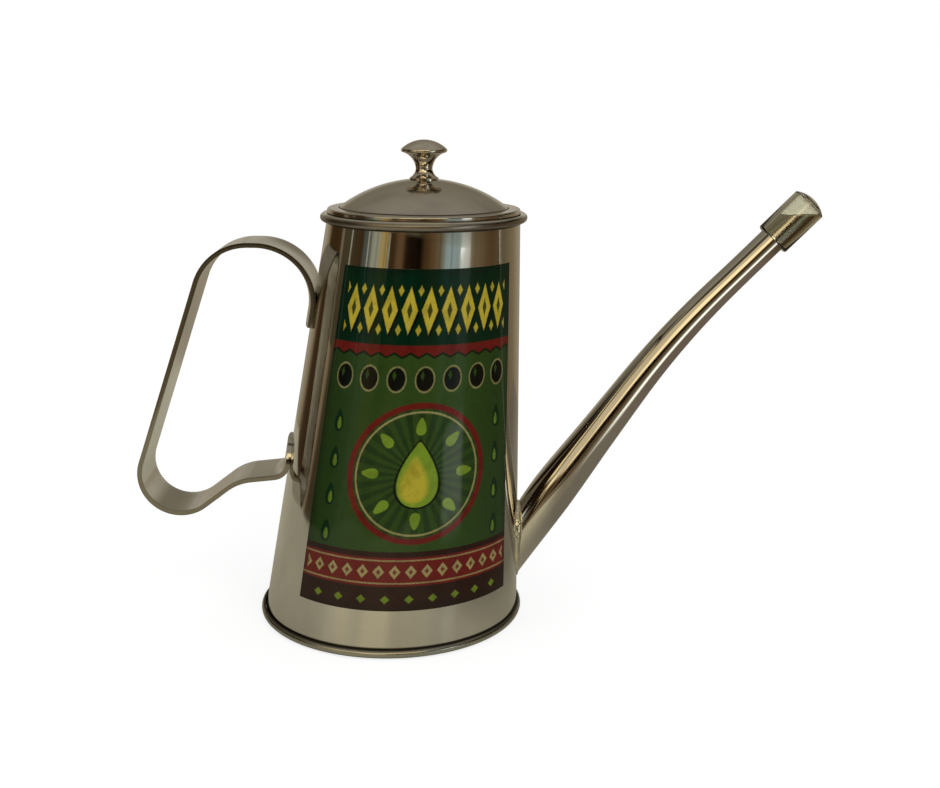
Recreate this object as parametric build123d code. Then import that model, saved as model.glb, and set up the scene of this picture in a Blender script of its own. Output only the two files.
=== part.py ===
from build123d import *
import os
from math import asin, atan2, cos, degrees, radians, sin, sqrt, tan

# Olive oil tin: a leaning cone of polished sheet steel with a rolled mouth, a seamed base,
# a ribbon handle, a long tapered spout with a clear tip cap, and a domed lid with a knob.
# Millimetres. The origin is the centre of the standing ring, Z is up, X points to the spout.

# Body
base_radius = 51.7
mouth_radius = 37.1
rim_height = 160.0
mouth_shift = 13.2
sheet = 0.5
overrun = 2.0

# Rolled mouth
rim_tube_radius = 1.6
rim_wall_depth = 0.7
rim_slit_gap = 0.45
rim_slit_width = 0.45

# Base and its seam
seam_tube_radius = 1.7
seam_ring_inset = 0.1
seam_hook_gap = 0.4
seam_gap = 0.08
seam_flat_depth = 0.08

# Handle ribbon, as the route of its outer face
handle_width = 24.0
handle_sheet = 1.8
handle_top_end_drop = 42.0
handle_top_tab_length = 6.8
arch_radius = 22.1
crown_length_share = 0.065
run_length = 75.6
heel_radius = 16.5
rise_angle = 37.5
rise_length = 10.9
dip_radius = 18.8
level_angle = 6.0
level_length = 7.8
root_bend_radius = 7.0
lower_tab_length = 9.6
lower_tab_corner = 9.0

# Spout
spout_foot_height = 27.17
spout_foot_angle = 57.8
spout_widest_radius = 8.95
spout_tip_radius = 5.25
spout_inside_length = 20.0
spout_foot_length = 10.0
spout_low_bend_radius = 460.0
spout_low_bend_angle = 3.1
spout_middle_length = 44.33
spout_high_bend_radius = 338.0
spout_high_bend_angle = 8.9
spout_tip_length = 40.5
spout_tip_straight = 24.6
spout_taper_shares = ((-0.135, 0.55), (0, 0.74), (0.09, 0.92), (0.165, 0.992), (0.235, 0.924),
                      (0.35, 0.692), (0.52, 0.43), (0.685, 0.232), (0.9, 0.034), (1, 0))
weld_leg = 1.4

# Clear cap on the spout tip
cap_wall = 1.8
cap_fit = 0.05
cap_grip_length = 13.8
cap_end_gap = 0.3
cap_crown_wall = 2.55
cap_crown_rise = 2.3
cap_lip_rounding = 0.9

# Label
label_film = 0.12
label_glue = 0.1
label_bottom_height = 18.2
label_top_drop = 15.0
label_middle_azimuth = -82.25
label_half_span = 52.25

# Lid
lid_dome_rise = 10.8
lid_groove_rise = 2.05
lid_ring_width = 4.6
lid_ring_bulge = 0.8
lid_shoulder_width = 0.8
lid_groove_drop = 0.5
lid_seat_gap = 0.3
lid_hem_thickness = 0.3
skirt_clearance = 0.3
skirt_depth = 8.0
skirt_sheet = 0.45
skirt_flange_thickness = 0.2
skirt_seat_gap = 0.04

# Knob and its screw
knob_height = 14.6
knob_head_radius = 8.85
knob_edge_height = 10.65
knob_edge_rounding = 0.85
knob_edge_under_angle = 60.0
knob_waist_radius = 3.2
knob_waist_height = 3.75
knob_foot_radius = 5.6
knob_foot_edge = 0.25
knob_upper_cove_share = 0.665
knob_lower_cove_share = 0.64
screw_radius = 2.0
screw_fit = 0.05
screw_reach = 8.0
screw_head_radius = 3.5
screw_head_height = 2.2
screw_slot_width = 1.0
screw_slot_depth = 1.1
washer_radius = 5.5
washer_thickness = 0.8

full_turn = 360
half_turn = 180
quarter_turn = 90
halvings = 40


def wall_radius(height):
    return base_radius + (mouth_radius - base_radius) * height / rim_height


def wall_centre(height):
    return mouth_shift * height / rim_height


def handle_side_wall(height):
    return wall_centre(height) - wall_radius(height)


def spout_side_wall(height):
    return wall_centre(height) + wall_radius(height)


def cone_solid(offset, low, high):
    """The leaning cone between two heights, grown sideways by an offset."""
    bottom = Pos(wall_centre(low), 0, low) * Circle(wall_radius(low) + offset)
    top = Pos(wall_centre(high), 0, high) * Circle(wall_radius(high) + offset)
    return loft([bottom, top], ruled=True)


def ring_solid(profile, centre_x):
    """A section in the XZ plane, drawn from the axis outwards, turned about a vertical axis."""
    face = Plane.XZ * profile
    return Pos(centre_x, 0, 0) * revolve(face, Axis.Z, full_turn)


def step(point, heading, move):
    """The middle and end of one move from a point in the XZ plane, and the heading after it.

    A move is ("line", length) or ("arc", radius, turn), and a positive turn is to the left.
    """
    x, z = point
    if move[0] == "line":
        reach = move[1]
        end = (x + reach * cos(radians(heading)), z + reach * sin(radians(heading)))
        return ((x + end[0]) / 2, (z + end[1]) / 2), end, heading
    radius, turn = move[1], move[2]
    side = quarter_turn if turn > 0 else -quarter_turn
    centre_x = x + radius * cos(radians(heading + side))
    centre_z = z + radius * sin(radians(heading + side))
    found = []
    for share in (1 / 2, 1):
        angle = radians(heading - side + turn * share)
        found.append((centre_x + radius * cos(angle), centre_z + radius * sin(angle)))
    return found[0], found[1], heading + turn


def route_end(point, heading, moves):
    for move in moves:
        _, point, heading = step(point, heading, move)
    return point, heading


def route_edges(point, heading, moves):
    edges = []
    for move in moves:
        middle, end, next_heading = step(point, heading, move)
        edges.append(Line(point, end) if move[0] == "line" else ThreePointArc(point, middle, end))
        point, heading = end, next_heading
    return edges


def ribbon_face(start, heading, moves):
    """The strip's section: the outer face's route and the same route one sheet further in."""
    side = radians(heading + quarter_turn)
    inner_start = (start[0] + handle_sheet * cos(side), start[1] + handle_sheet * sin(side))
    inner_moves = []
    for move in moves:
        if move[0] == "line":
            inner_moves.append(move)
        else:
            change = -handle_sheet if move[2] > 0 else handle_sheet
            inner_moves.append(("arc", move[1] + change, move[2]))
    outer = route_edges(start, heading, moves)
    inner = route_edges(inner_start, heading, inner_moves)
    outer_end, _ = route_end(start, heading, moves)
    inner_end, _ = route_end(inner_start, heading, inner_moves)
    return make_face(Curve() + outer + inner + [Line(outer_end, inner_end), Line(inner_start, start)])


def body_shell():
    # The wall's top edge ends inside the rolled tube's own sheet.
    wall_top = rim_height - rim_wall_depth
    wall_foot = seam_centre().Y - sheet
    wall = cone_solid(0, wall_foot, wall_top)
    wall -= cone_solid(-sheet, wall_foot, wall_top)
    wall += rolled_mouth()
    # Its foot is turned out into a flat hook inside the base bead.
    hook = Circle(seam_centre().X + seam_tube_radius - sheet - seam_hook_gap)
    hook -= Circle(wall_radius(wall_foot) - sheet / 2)
    wall += Pos(0, 0, wall_foot) * extrude(hook, sheet)
    return wall - spout_solid(-sheet)


def rolled_mouth():
    tube_centre = mouth_radius - sheet + rim_tube_radius
    tube = Circle(rim_tube_radius) - Circle(rim_tube_radius - sheet)
    slit_centre = mouth_radius + rim_slit_gap + rim_slit_width / 2
    slit_height = rim_tube_radius + overrun
    slit = Pos(slit_centre, rim_height - slit_height / 2) * Rectangle(rim_slit_width, slit_height)
    return ring_solid(Pos(tube_centre, rim_height) * tube - slit, mouth_shift)


def seam_centre():
    """Centre of the base bead's tube in the section: distance from the axis, and height."""
    return Vector(base_radius - seam_ring_inset, seam_tube_radius - seam_flat_depth)


def base_plate():
    centre = seam_centre()
    tube_place = Pos(centre.X, centre.Y)
    panel_radius = centre.X - seam_tube_radius + sheet
    panel = Pos(panel_radius / 2, centre.Y + sheet + sheet / 2) * Rectangle(panel_radius, sheet)
    section = tube_place * Circle(seam_tube_radius) + panel
    section -= tube_place * Circle(seam_tube_radius - sheet)
    section -= Pos(centre.X, -overrun / 2) * Rectangle(4 * seam_tube_radius, overrun)
    # The wall comes down through a slot in the top of the bead.
    low = centre.Y
    high = centre.Y + 2 * seam_tube_radius
    slot = cone_solid(seam_gap, low, high) - cone_solid(-sheet - seam_gap, low, high)
    return ring_solid(section, 0) - slot


def wall_angle():
    return degrees(atan2(rim_height, handle_side_wall(rim_height) - handle_side_wall(0)))


def handle_start():
    height = rim_height - handle_top_end_drop
    return handle_side_wall(height), height


def crown_move():
    """A short level stretch at the top of the arch, where the formed end meets the flat strip."""
    return "line", handle_width * crown_length_share


def top_moves():
    """Up the wall and over the arch as far as its crown."""
    return [("line", handle_top_tab_length), ("arc", arch_radius, half_turn - wall_angle()), crown_move()]


def middle_moves(lean):
    """From the crown down the leaning run, round the heel, up the rise and into the dip."""
    run_heading = 3 * quarter_turn - lean
    return [("arc", arch_radius, run_heading - half_turn),
            ("line", run_length),
            ("arc", heel_radius, full_turn + rise_angle - run_heading),
            ("line", rise_length),
            ("arc", dip_radius, level_angle - rise_angle)]


def bottom_moves():
    """Level in to the wall and up it."""
    return [("line", level_length),
            ("arc", root_bend_radius, wall_angle() - level_angle),
            ("line", lower_tab_length)]


def run_lean():
    """How far the run leans out for the strip's lower end to meet the wall, found by halving."""
    low = 0
    high = quarter_turn / 2
    for _ in range(halvings):
        lean = (low + high) / 2
        moves = top_moves() + middle_moves(lean) + bottom_moves()
        end, _ = route_end(handle_start(), wall_angle(), moves)
        if end[0] < handle_side_wall(end[1]):
            high = lean
        else:
            low = lean
    return lean


def handle():
    start = handle_start()
    middle = middle_moves(run_lean())
    crown, _ = route_end(start, wall_angle(), top_moves())
    low, _ = route_end(crown, half_turn, middle)
    tab_end, _ = route_end(low, level_angle, bottom_moves())
    # The flat middle of the strip takes in both level stretches, and is then cut round to them.
    flat_start, _ = route_end(start, wall_angle(), top_moves()[:-1])
    flat_face = ribbon_face(flat_start, half_turn, [crown_move()] + middle + bottom_moves()[:1])
    ribbon = extrude(Plane.XZ * flat_face, handle_width / 2, both=True)
    # Where the strip comes down on the round wall it is formed to the wall's own curve.
    top_face = ribbon_face(start, wall_angle(), top_moves())
    bottom_face = ribbon_face(low, level_angle, bottom_moves())
    ribbon -= round_cut(crown, start[1], 0)
    ribbon += formed_end(top_face, wall_axis(start[1], 0))
    ribbon -= round_cut(low, tab_end[1], level_angle)
    lower_tab = formed_end(bottom_face, wall_axis(tab_end[1], level_angle))
    ribbon += lower_tab & rounded_tab_prism(tab_end[1])
    return ribbon - cone_solid(0, 0, rim_height)


def round_cut(joint, height, lean):
    """A disc about the wall's axis that reaches out to where the flat strip and its formed end meet."""
    along = radians(lean)
    reach = (wall_centre(height) - joint[0]) * cos(along) + (height - joint[1]) * sin(along)
    disc = Cylinder(reach, 6 * handle_sheet)
    middle_x = joint[0] + reach * cos(along)
    middle_z = joint[1] + reach * sin(along)
    return Pos(middle_x, 0, middle_z) * Rot(0, -lean, 0) * disc


def wall_axis(height, lean):
    """An axis through the wall's centre at a height, leaning back from upright."""
    return Axis((wall_centre(height), 0, height), (-sin(radians(lean)), 0, cos(radians(lean))))


def formed_end(face, axis):
    half_angle = degrees(asin(handle_width / mouth_radius))
    turned = revolve(Plane.XZ * face, axis, 2 * half_angle).rotate(axis, -half_angle)
    reach = 4 * base_radius
    return turned & Pos(0, 0, rim_height / 2) * Box(reach, handle_width, 2 * rim_height)


def rounded_tab_prism(height):
    outline = Pos(0, height / 2) * Rectangle(handle_width, height)
    corners = outline.vertices().sort_by(Axis.Y)[-2:]
    outline = fillet(corners, lower_tab_corner)
    return extrude(Plane.YZ * outline, -4 * base_radius)


def spout_moves():
    return [("line", spout_inside_length + spout_foot_length),
            ("arc", spout_low_bend_radius, -spout_low_bend_angle),
            ("line", spout_middle_length),
            ("arc", spout_high_bend_radius, -spout_high_bend_angle),
            ("line", spout_tip_length)]


def spout_state(distance):
    """Centre and heading of the spout at a distance from where its axis crosses the wall."""
    along = radians(spout_foot_angle)
    start = (spout_side_wall(spout_foot_height) - spout_inside_length * cos(along),
             spout_foot_height - spout_inside_length * sin(along))
    moves = []
    left = distance + spout_inside_length
    for move in spout_moves():
        length = move[1] if move[0] == "line" else move[1] * radians(abs(move[2]))
        if left <= length:
            part = left / length
            moves.append((move[0], move[1] * part) if move[0] == "line" else (move[0], move[1], move[2] * part))
            break
        moves.append(move)
        left -= length
    return route_end(start, spout_foot_angle, moves)


def spout_plane(distance):
    centre, heading = spout_state(distance)
    along = Vector(cos(radians(heading)), 0, sin(radians(heading)))
    return Plane(origin=(centre[0], 0, centre[1]), x_dir=(0, 1, 0), z_dir=along)


def spout_length():
    length = 0
    for move in spout_moves():
        length += move[1] if move[0] == "line" else move[1] * radians(abs(move[2]))
    return length - spout_inside_length


def spout_solid(offset):
    """The spout's taper as a solid, grown by an offset, from inside the body to past the mouth."""
    taper_length = spout_length() - spout_tip_straight
    sections = []
    for length_share, radius_share in spout_taper_shares:
        radius = spout_tip_radius + (spout_widest_radius - spout_tip_radius) * radius_share
        sections.append(spout_plane(taper_length * length_share) * Circle(radius + offset))
    tip_run = spout_tip_straight + 2 * spout_tip_radius
    tip = extrude(spout_plane(taper_length) * Circle(spout_tip_radius + offset), tip_run)
    return loft(sections) + tip


def mouth_plane():
    return spout_plane(spout_length())


def above_mouth():
    """A block above the level cut of the spout's mouth."""
    centre = mouth_plane().origin
    size = 8 * spout_tip_radius
    return Pos(centre.X, 0, centre.Z + size / 2) * Box(size, size, size)


def spout_tube():
    tube = spout_solid(0) - spout_solid(-sheet)
    tube -= cone_solid(0, 0, rim_height)
    return tube - above_mouth()


def spout_weld():
    bead = spout_solid(weld_leg) & cone_solid(weld_leg, 0, rim_height)
    bead -= cone_solid(0, 0, rim_height)
    return bead - spout_solid(0)


def spout_cap():
    bore_radius = spout_tip_radius + cap_fit
    outer_radius = bore_radius + cap_wall
    _, heading = spout_state(spout_length())
    tip_reach = spout_tip_radius / tan(radians(heading))
    bore_end = tip_reach + cap_end_gap
    crown = bore_end + cap_crown_wall
    shoulder = crown - cap_crown_rise
    outline = [Line((0, bore_end), (bore_radius, bore_end)),
               Line((bore_radius, bore_end), (bore_radius, -cap_grip_length)),
               Line((bore_radius, -cap_grip_length), (outer_radius, -cap_grip_length)),
               Line((outer_radius, -cap_grip_length), (outer_radius, shoulder)),
               dome_arc(outer_radius, shoulder, crown),
               Line((0, crown), (0, bore_end))]
    section = make_face(Curve() + outline)
    lip = section.vertices().sort_by(Axis.Y)[0:2].sort_by(Axis.X)[-1]
    section = fillet(lip, cap_lip_rounding)
    turned = revolve(Plane.XZ * section, Axis.Z, full_turn)
    return mouth_plane().location * turned


def dome_arc(radius, low, high):
    """An arc from the edge of a shallow dome up to its crown on the axis."""
    rise = high - low
    sphere = (radius * radius + rise * rise) / (2 * rise)
    middle = radius / 2
    middle_height = high - sphere + sqrt(sphere * sphere - middle * middle)
    return ThreePointArc((radius, low), (middle, middle_height), (0, high))


def label():
    label_top_height = rim_height - label_top_drop
    film = cone_solid(label_glue + label_film, label_bottom_height, label_top_height)
    film -= cone_solid(label_glue, label_bottom_height, label_top_height)
    faces = []
    for height in (label_bottom_height, label_top_height):
        reach = 2 * base_radius
        corners = [(0, 0)]
        for share in (-1, 0, 1):
            azimuth = radians(label_middle_azimuth + share * label_half_span)
            corners.append((reach * cos(azimuth), reach * sin(azimuth)))
        sector = make_face(Polyline(corners, close=True))
        faces.append(Pos(wall_centre(height), 0, height) * sector)
    return film & loft(faces, ruled=True)


def lid_seat_height():
    """The lid's edge stands one seat gap clear of the rolled mouth's shoulder."""
    reach = rim_tube_radius - sheet
    clear = rim_tube_radius + lid_seat_gap
    return rim_height + sqrt(clear * clear - reach * reach)


def lid_groove_radius():
    return mouth_radius - lid_ring_width


def lid_top_height():
    return lid_seat_height() + lid_groove_rise + lid_dome_rise


def dome_height(radius, offset=0):
    """Height of the dome's sphere at a radius, or of the same sphere set in by an offset."""
    groove = lid_groove_radius()
    sphere = (groove * groove + lid_dome_rise * lid_dome_rise) / (2 * lid_dome_rise)
    inner = sphere - offset
    return lid_top_height() - sphere + sqrt(inner * inner - radius * radius)


def skirt_radius():
    return mouth_radius - sheet - skirt_clearance


def lid_edge_land():
    """Height of the lid's upright edge: the hem, the skirt's flange and the room round it."""
    return lid_hem_thickness + skirt_flange_thickness + 2 * skirt_seat_gap


def lid_ring_arc(offset):
    """The rounded step ring between the dome's groove and the lid's edge."""
    inner = (lid_groove_radius(), dome_height(lid_groove_radius(), offset) - lid_groove_drop)
    outer = (mouth_radius - offset, lid_seat_height() + lid_edge_land())
    middle_radius = (inner[0] + outer[0]) / 2
    middle_height = (inner[1] + outer[1]) / 2 + lid_ring_bulge
    return ThreePointArc(inner, (middle_radius, middle_height), outer), inner, outer


def lid_dome():
    seat = lid_seat_height()
    bore = screw_radius + screw_fit
    outer_ring, groove, edge = lid_ring_arc(0)
    inner_ring, under_groove, under_edge = lid_ring_arc(sheet)
    shoulder_radius = groove[0] - lid_shoulder_width
    shoulder = (shoulder_radius, dome_height(shoulder_radius))
    under_shoulder = (shoulder_radius, dome_height(shoulder_radius, sheet))
    outer_middle = (shoulder_radius + bore) / 2
    hem_inner = skirt_radius() + skirt_seat_gap
    hem_top = seat + lid_hem_thickness
    outline = [ThreePointArc((bore, dome_height(bore)), (outer_middle, dome_height(outer_middle)), shoulder),
               Line(shoulder, groove),
               outer_ring,
               Line(edge, (mouth_radius, seat)),
               Line((mouth_radius, seat), (hem_inner, seat)),
               Line((hem_inner, seat), (hem_inner, hem_top)),
               Line((hem_inner, hem_top), (under_edge[0], hem_top)),
               Line((under_edge[0], hem_top), under_edge),
               inner_ring,
               Line(under_groove, under_shoulder),
               ThreePointArc(under_shoulder, (outer_middle, dome_height(outer_middle, sheet)),
                             (bore, dome_height(bore, sheet))),
               Line((bore, dome_height(bore, sheet)), (bore, dome_height(bore)))]
    return ring_solid(make_face(Curve() + outline), mouth_shift)


def lid_skirt():
    radius = skirt_radius()
    bottom = rim_height - skirt_depth
    top = lid_seat_height() + lid_hem_thickness + skirt_seat_gap
    flange_radius = mouth_radius - sheet - skirt_seat_gap
    wall = Pos(radius - skirt_sheet / 2, (bottom + top) / 2) * Rectangle(skirt_sheet, top - bottom)
    flange_width = flange_radius - radius + skirt_sheet
    flange_place = Pos(flange_radius - flange_width / 2, top + skirt_flange_thickness / 2)
    flange = flange_place * Rectangle(flange_width, skirt_flange_thickness)
    return ring_solid(wall + flange, mouth_shift)


def knob():
    foot = dome_height(knob_foot_radius)
    foot_top = lid_top_height() + knob_foot_edge
    waist = lid_top_height() + knob_waist_height
    top = lid_top_height() + knob_height
    # The crown is a sphere that runs smoothly into the rounded edge of the head.
    edge_x = knob_head_radius - knob_edge_rounding
    edge_z = lid_top_height() + knob_edge_height
    drop = top - edge_z
    crown = (edge_x * edge_x + drop * drop - knob_edge_rounding * knob_edge_rounding)
    crown = crown / (2 * (drop - knob_edge_rounding))
    upper = atan2(crown - drop, edge_x)
    under = radians(-knob_edge_under_angle)
    edge_points = []
    for angle in (upper, (upper + under) / 2, under):
        edge_points.append((edge_x + knob_edge_rounding * cos(angle), edge_z + knob_edge_rounding * sin(angle)))
    crown_angle = (upper + radians(quarter_turn)) / 2
    crown_middle = (crown * cos(crown_angle), top - crown + crown * sin(crown_angle))
    flare = edge_points[-1]
    upper_cove = (knob_waist_radius + (flare[0] - knob_waist_radius) * (1 - knob_upper_cove_share),
                  waist + (flare[1] - waist) * knob_upper_cove_share)
    lower_cove = (knob_waist_radius + (knob_foot_radius - knob_waist_radius) * (1 - knob_lower_cove_share),
                  foot_top + (waist - foot_top) * (1 - knob_lower_cove_share))
    half_foot = knob_foot_radius / 2
    outline = [Line((0, top), (0, lid_top_height())),
               ThreePointArc((0, lid_top_height()), (half_foot, dome_height(half_foot)), (knob_foot_radius, foot)),
               Line((knob_foot_radius, foot), (knob_foot_radius, foot_top)),
               ThreePointArc((knob_foot_radius, foot_top), lower_cove, (knob_waist_radius, waist)),
               ThreePointArc((knob_waist_radius, waist), upper_cove, flare),
               ThreePointArc(flare, edge_points[1], edge_points[0]),
               ThreePointArc(edge_points[0], crown_middle, (0, top))]
    bore_top = lid_top_height() + screw_reach
    bore = Pos(0, bore_top / 2) * Rectangle(2 * (screw_radius + screw_fit), bore_top)
    return ring_solid(make_face(Curve() + outline) - bore, mouth_shift)


def washer_top():
    return dome_height(washer_radius, sheet)


def knob_washer():
    ring = Circle(washer_radius) - Circle(screw_radius + screw_fit)
    return Pos(mouth_shift, 0, washer_top() - washer_thickness) * extrude(ring, washer_thickness)


def knob_screw():
    head_top = washer_top() - washer_thickness
    shank_top = lid_top_height() + screw_reach - screw_fit
    shank = Pos(0, 0, head_top) * extrude(Circle(screw_radius), shank_top - head_top)
    head = Pos(0, 0, head_top - screw_head_height) * extrude(Circle(screw_head_radius), screw_head_height)
    bottom_edge = head.edges().sort_by(Axis.Z)[0]
    head = fillet(bottom_edge, screw_head_height / 3)
    slot_place = Pos(0, 0, head_top - screw_head_height)
    slot = slot_place * Box(2 * screw_head_radius, screw_slot_width, 2 * screw_slot_depth)
    return Pos(mouth_shift, 0, 0) * (shank + head - slot)


nodes = {
    "body_shell": body_shell,
    "base_plate": base_plate,
    "handle": handle,
    "spout_tube": spout_tube,
    "spout_weld": spout_weld,
    "spout_cap": spout_cap,
    "label": label,
    "lid_dome": lid_dome,
    "lid_skirt": lid_skirt,
    "knob": knob,
    "knob_washer": knob_washer,
    "knob_screw": knob_screw,
}

os.makedirs("parts", exist_ok=True)
for name, make in nodes.items():
    export_step(make(), "parts/" + name + ".step")
    print("wrote", name)
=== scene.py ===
from math import asin, atan2, cos, degrees, exp, pi, radians, sin, sqrt, tan

import bmesh
import bpy
from mathutils import Matrix, Vector, noise


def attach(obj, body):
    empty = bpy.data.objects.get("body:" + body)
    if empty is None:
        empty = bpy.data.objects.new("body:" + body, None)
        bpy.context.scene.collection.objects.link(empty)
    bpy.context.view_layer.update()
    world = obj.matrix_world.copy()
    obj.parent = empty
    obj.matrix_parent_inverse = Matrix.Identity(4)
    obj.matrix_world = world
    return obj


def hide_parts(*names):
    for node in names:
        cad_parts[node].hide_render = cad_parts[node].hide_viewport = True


# Oil can of polished sheet steel with a wrapped label. Shapes are drawn in millimetres
# and brought down to metres when each piece is finished.

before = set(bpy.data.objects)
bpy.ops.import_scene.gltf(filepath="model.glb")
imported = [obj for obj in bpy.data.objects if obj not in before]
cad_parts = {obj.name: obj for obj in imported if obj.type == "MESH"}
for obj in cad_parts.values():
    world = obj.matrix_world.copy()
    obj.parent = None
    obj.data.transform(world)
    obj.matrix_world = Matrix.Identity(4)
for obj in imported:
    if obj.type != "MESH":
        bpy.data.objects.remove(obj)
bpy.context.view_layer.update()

millimetre = 0.001
fullTurn = 2 * pi
can = {"baseRadius": 51.7, "mouthRadius": 37.1, "height": 160.0, "lean": 13.2, "sheet": 0.5}


def wallRadius(z):
    return can["baseRadius"] + (can["mouthRadius"] - can["baseRadius"]) * z / can["height"]


def wallCentre(z):
    return can["lean"] * z / can["height"]


# Shaping helpers

def arcPoints(centre, radius, start, end, count):
    points = []
    for index in range(count + 1):
        angle = radians(start + (end - start) * index / count)
        points.append((centre[0] + radius * cos(angle), centre[1] + radius * sin(angle)))
    return points


def arcThrough(first, middle, last, count):
    # the circle through three points of a section
    ax, az = first
    bx, bz = middle
    cx, cz = last
    fourAreas = 2 * (ax * (bz - cz) + bx * (cz - az) + cx * (az - bz))
    aa, bb, cc = ax * ax + az * az, bx * bx + bz * bz, cx * cx + cz * cz
    ux = (aa * (bz - cz) + bb * (cz - az) + cc * (az - bz)) / fourAreas
    uz = (aa * (cx - bx) + bb * (ax - cx) + cc * (bx - ax)) / fourAreas
    radius = sqrt((ax - ux) ** 2 + (az - uz) ** 2)
    start = degrees(atan2(az - uz, ax - ux))
    through = degrees(atan2(bz - uz, bx - ux))
    end = degrees(atan2(cz - uz, cx - ux))
    if (through - start) % 360 < (end - start) % 360:
        end = start + (end - start) % 360
    else:
        end = start - (start - end) % 360
    return arcPoints((ux, uz), radius, start, end, count)


def spinSection(points, steps, centreX=0.0, closed=True):
    bm = bmesh.new()
    verts = [bm.verts.new((centreX + radius, 0, z)) for radius, z in points]
    edges = [bm.edges.new(pair) for pair in zip(verts, verts[1:])]
    if closed:
        edges.append(bm.edges.new((verts[-1], verts[0])))
    bmesh.ops.spin(bm, geom=verts + edges, cent=(centreX, 0, 0), axis=(0, 0, 1), dvec=(0, 0, 0),
                   angle=fullTurn, steps=steps, use_merge=True, use_duplicate=False)
    bmesh.ops.remove_doubles(bm, verts=bm.verts, dist=0.001)
    return bm


def leanOver(bm):
    shear = Matrix.Identity(4)
    shear[0][2] = can["lean"] / can["height"]
    bmesh.ops.transform(bm, matrix=shear, verts=bm.verts)


def softenEdges(bm, width, segments=2, angle=35.0):
    edges = [edge for edge in bm.edges if edge.is_manifold and edge.calc_face_angle(0) > radians(angle)]
    if edges:
        bmesh.ops.bevel(bm, geom=edges, offset=width, offset_type='OFFSET', segments=segments,
                        profile=0.5, affect='EDGES', clamp_overlap=True, material=-1)


def onlyOf(items, kind):
    return [item for item in items if isinstance(item, kind)]


def finishPiece(bm, name, body, material, replaced, sharpAngle=32.0):
    bmesh.ops.remove_doubles(bm, verts=bm.verts, dist=0.0008)
    bmesh.ops.dissolve_degenerate(bm, dist=0.0005, edges=bm.edges)
    bmesh.ops.recalc_face_normals(bm, faces=bm.faces)
    bmesh.ops.scale(bm, vec=(millimetre, millimetre, millimetre), verts=bm.verts)
    mesh = bpy.data.meshes.new(name)
    bm.to_mesh(mesh)
    bm.free()
    mesh.materials.append(material)
    mesh.polygons.foreach_set("use_smooth", [True] * len(mesh.polygons))
    mesh.set_sharp_from_angle(angle=radians(sharpAngle))
    piece = bpy.data.objects.new(name, mesh)
    bpy.context.collection.objects.link(piece)
    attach(piece, body)
    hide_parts(*replaced)
    print("made", name, len(mesh.polygons), "faces")
    return piece


# Material helpers

def newMaterial(name, **sockets):
    material = bpy.data.materials.new(name)
    material.use_nodes = True
    shader = material.node_tree.nodes["Principled BSDF"]
    for socket, value in sockets.items():
        shader.inputs[socket.replace("_", " ")].default_value = value
    return material, material.node_tree, shader


def addNode(tree, kind, settings=None, inputs=None):
    node = tree.nodes.new(kind)
    for key, value in (settings or {}).items():
        setattr(node, key, value)
    for key, value in (inputs or {}).items():
        if isinstance(value, bpy.types.NodeSocket):
            tree.links.new(value, node.inputs[key])
        else:
            node.inputs[key].default_value = value
    return node


def calc(tree, operation, *values, clamp=False):
    node = tree.nodes.new('ShaderNodeMath')
    node.operation = operation
    node.use_clamp = clamp
    for socket, value in zip(node.inputs, values):
        if isinstance(value, bpy.types.NodeSocket):
            tree.links.new(value, socket)
        else:
            socket.default_value = value
    return node.outputs[0]


def objectPlace(tree):
    return addNode(tree, 'ShaderNodeTexCoord').outputs["Object"]


def axesOf(tree, place):
    return addNode(tree, 'ShaderNodeSeparateXYZ', None, {'Vector': place}).outputs


def lengthOf(tree, first, second):
    squares = [calc(tree, 'MULTIPLY', value, value) for value in (first, second)]
    return calc(tree, 'SQRT', calc(tree, 'ADD', *squares))


def gapFrom(tree, value, middle):
    return calc(tree, 'ABSOLUTE', calc(tree, 'SUBTRACT', value, middle))


def noiseAt(tree, place, scale, detail=3.0, stretch=(1, 1, 1), roughness=0.5):
    moved = addNode(tree, 'ShaderNodeMapping', None, {'Vector': place, 'Scale': stretch}).outputs[0]
    return addNode(tree, 'ShaderNodeTexNoise', None,
                   {'Vector': moved, 'Scale': scale, 'Detail': detail, 'Roughness': roughness}).outputs[0]


def spread(tree, value, fromLow, fromHigh, toLow=0.0, toHigh=1.0, smooth=False):
    kind = 'SMOOTHSTEP' if smooth else 'LINEAR'
    return addNode(tree, 'ShaderNodeMapRange', {'interpolation_type': kind, 'clamp': True},
                   {'Value': value, 'From Min': fromLow, 'From Max': fromHigh,
                    'To Min': toLow, 'To Max': toHigh}).outputs[0]


def blend(tree, factor, first, second, kind='MIX'):
    node = tree.nodes.new('ShaderNodeMix')
    node.data_type = 'RGBA'
    node.blend_type = kind
    for index, value in ((0, factor), (6, first), (7, second)):
        if isinstance(value, bpy.types.NodeSocket):
            tree.links.new(value, node.inputs[index])
        elif index == 0:
            node.inputs[0].default_value = value
        else:
            node.inputs[index].default_value = (*value, 1)
    return node.outputs[2]


def dim(tree, colour, factor):
    # darkens by a factor; above 1 it leaves the colour as it is
    return blend(tree, 1.0, colour, blend(tree, factor, (0, 0, 0), (1, 1, 1)), 'MULTIPLY')


def bumpFrom(tree, height, depth, inputs=None):
    return addNode(tree, 'ShaderNodeBump', None,
                   {'Height': height, 'Strength': 1.0, 'Distance': depth, **(inputs or {})}).outputs[0]


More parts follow.
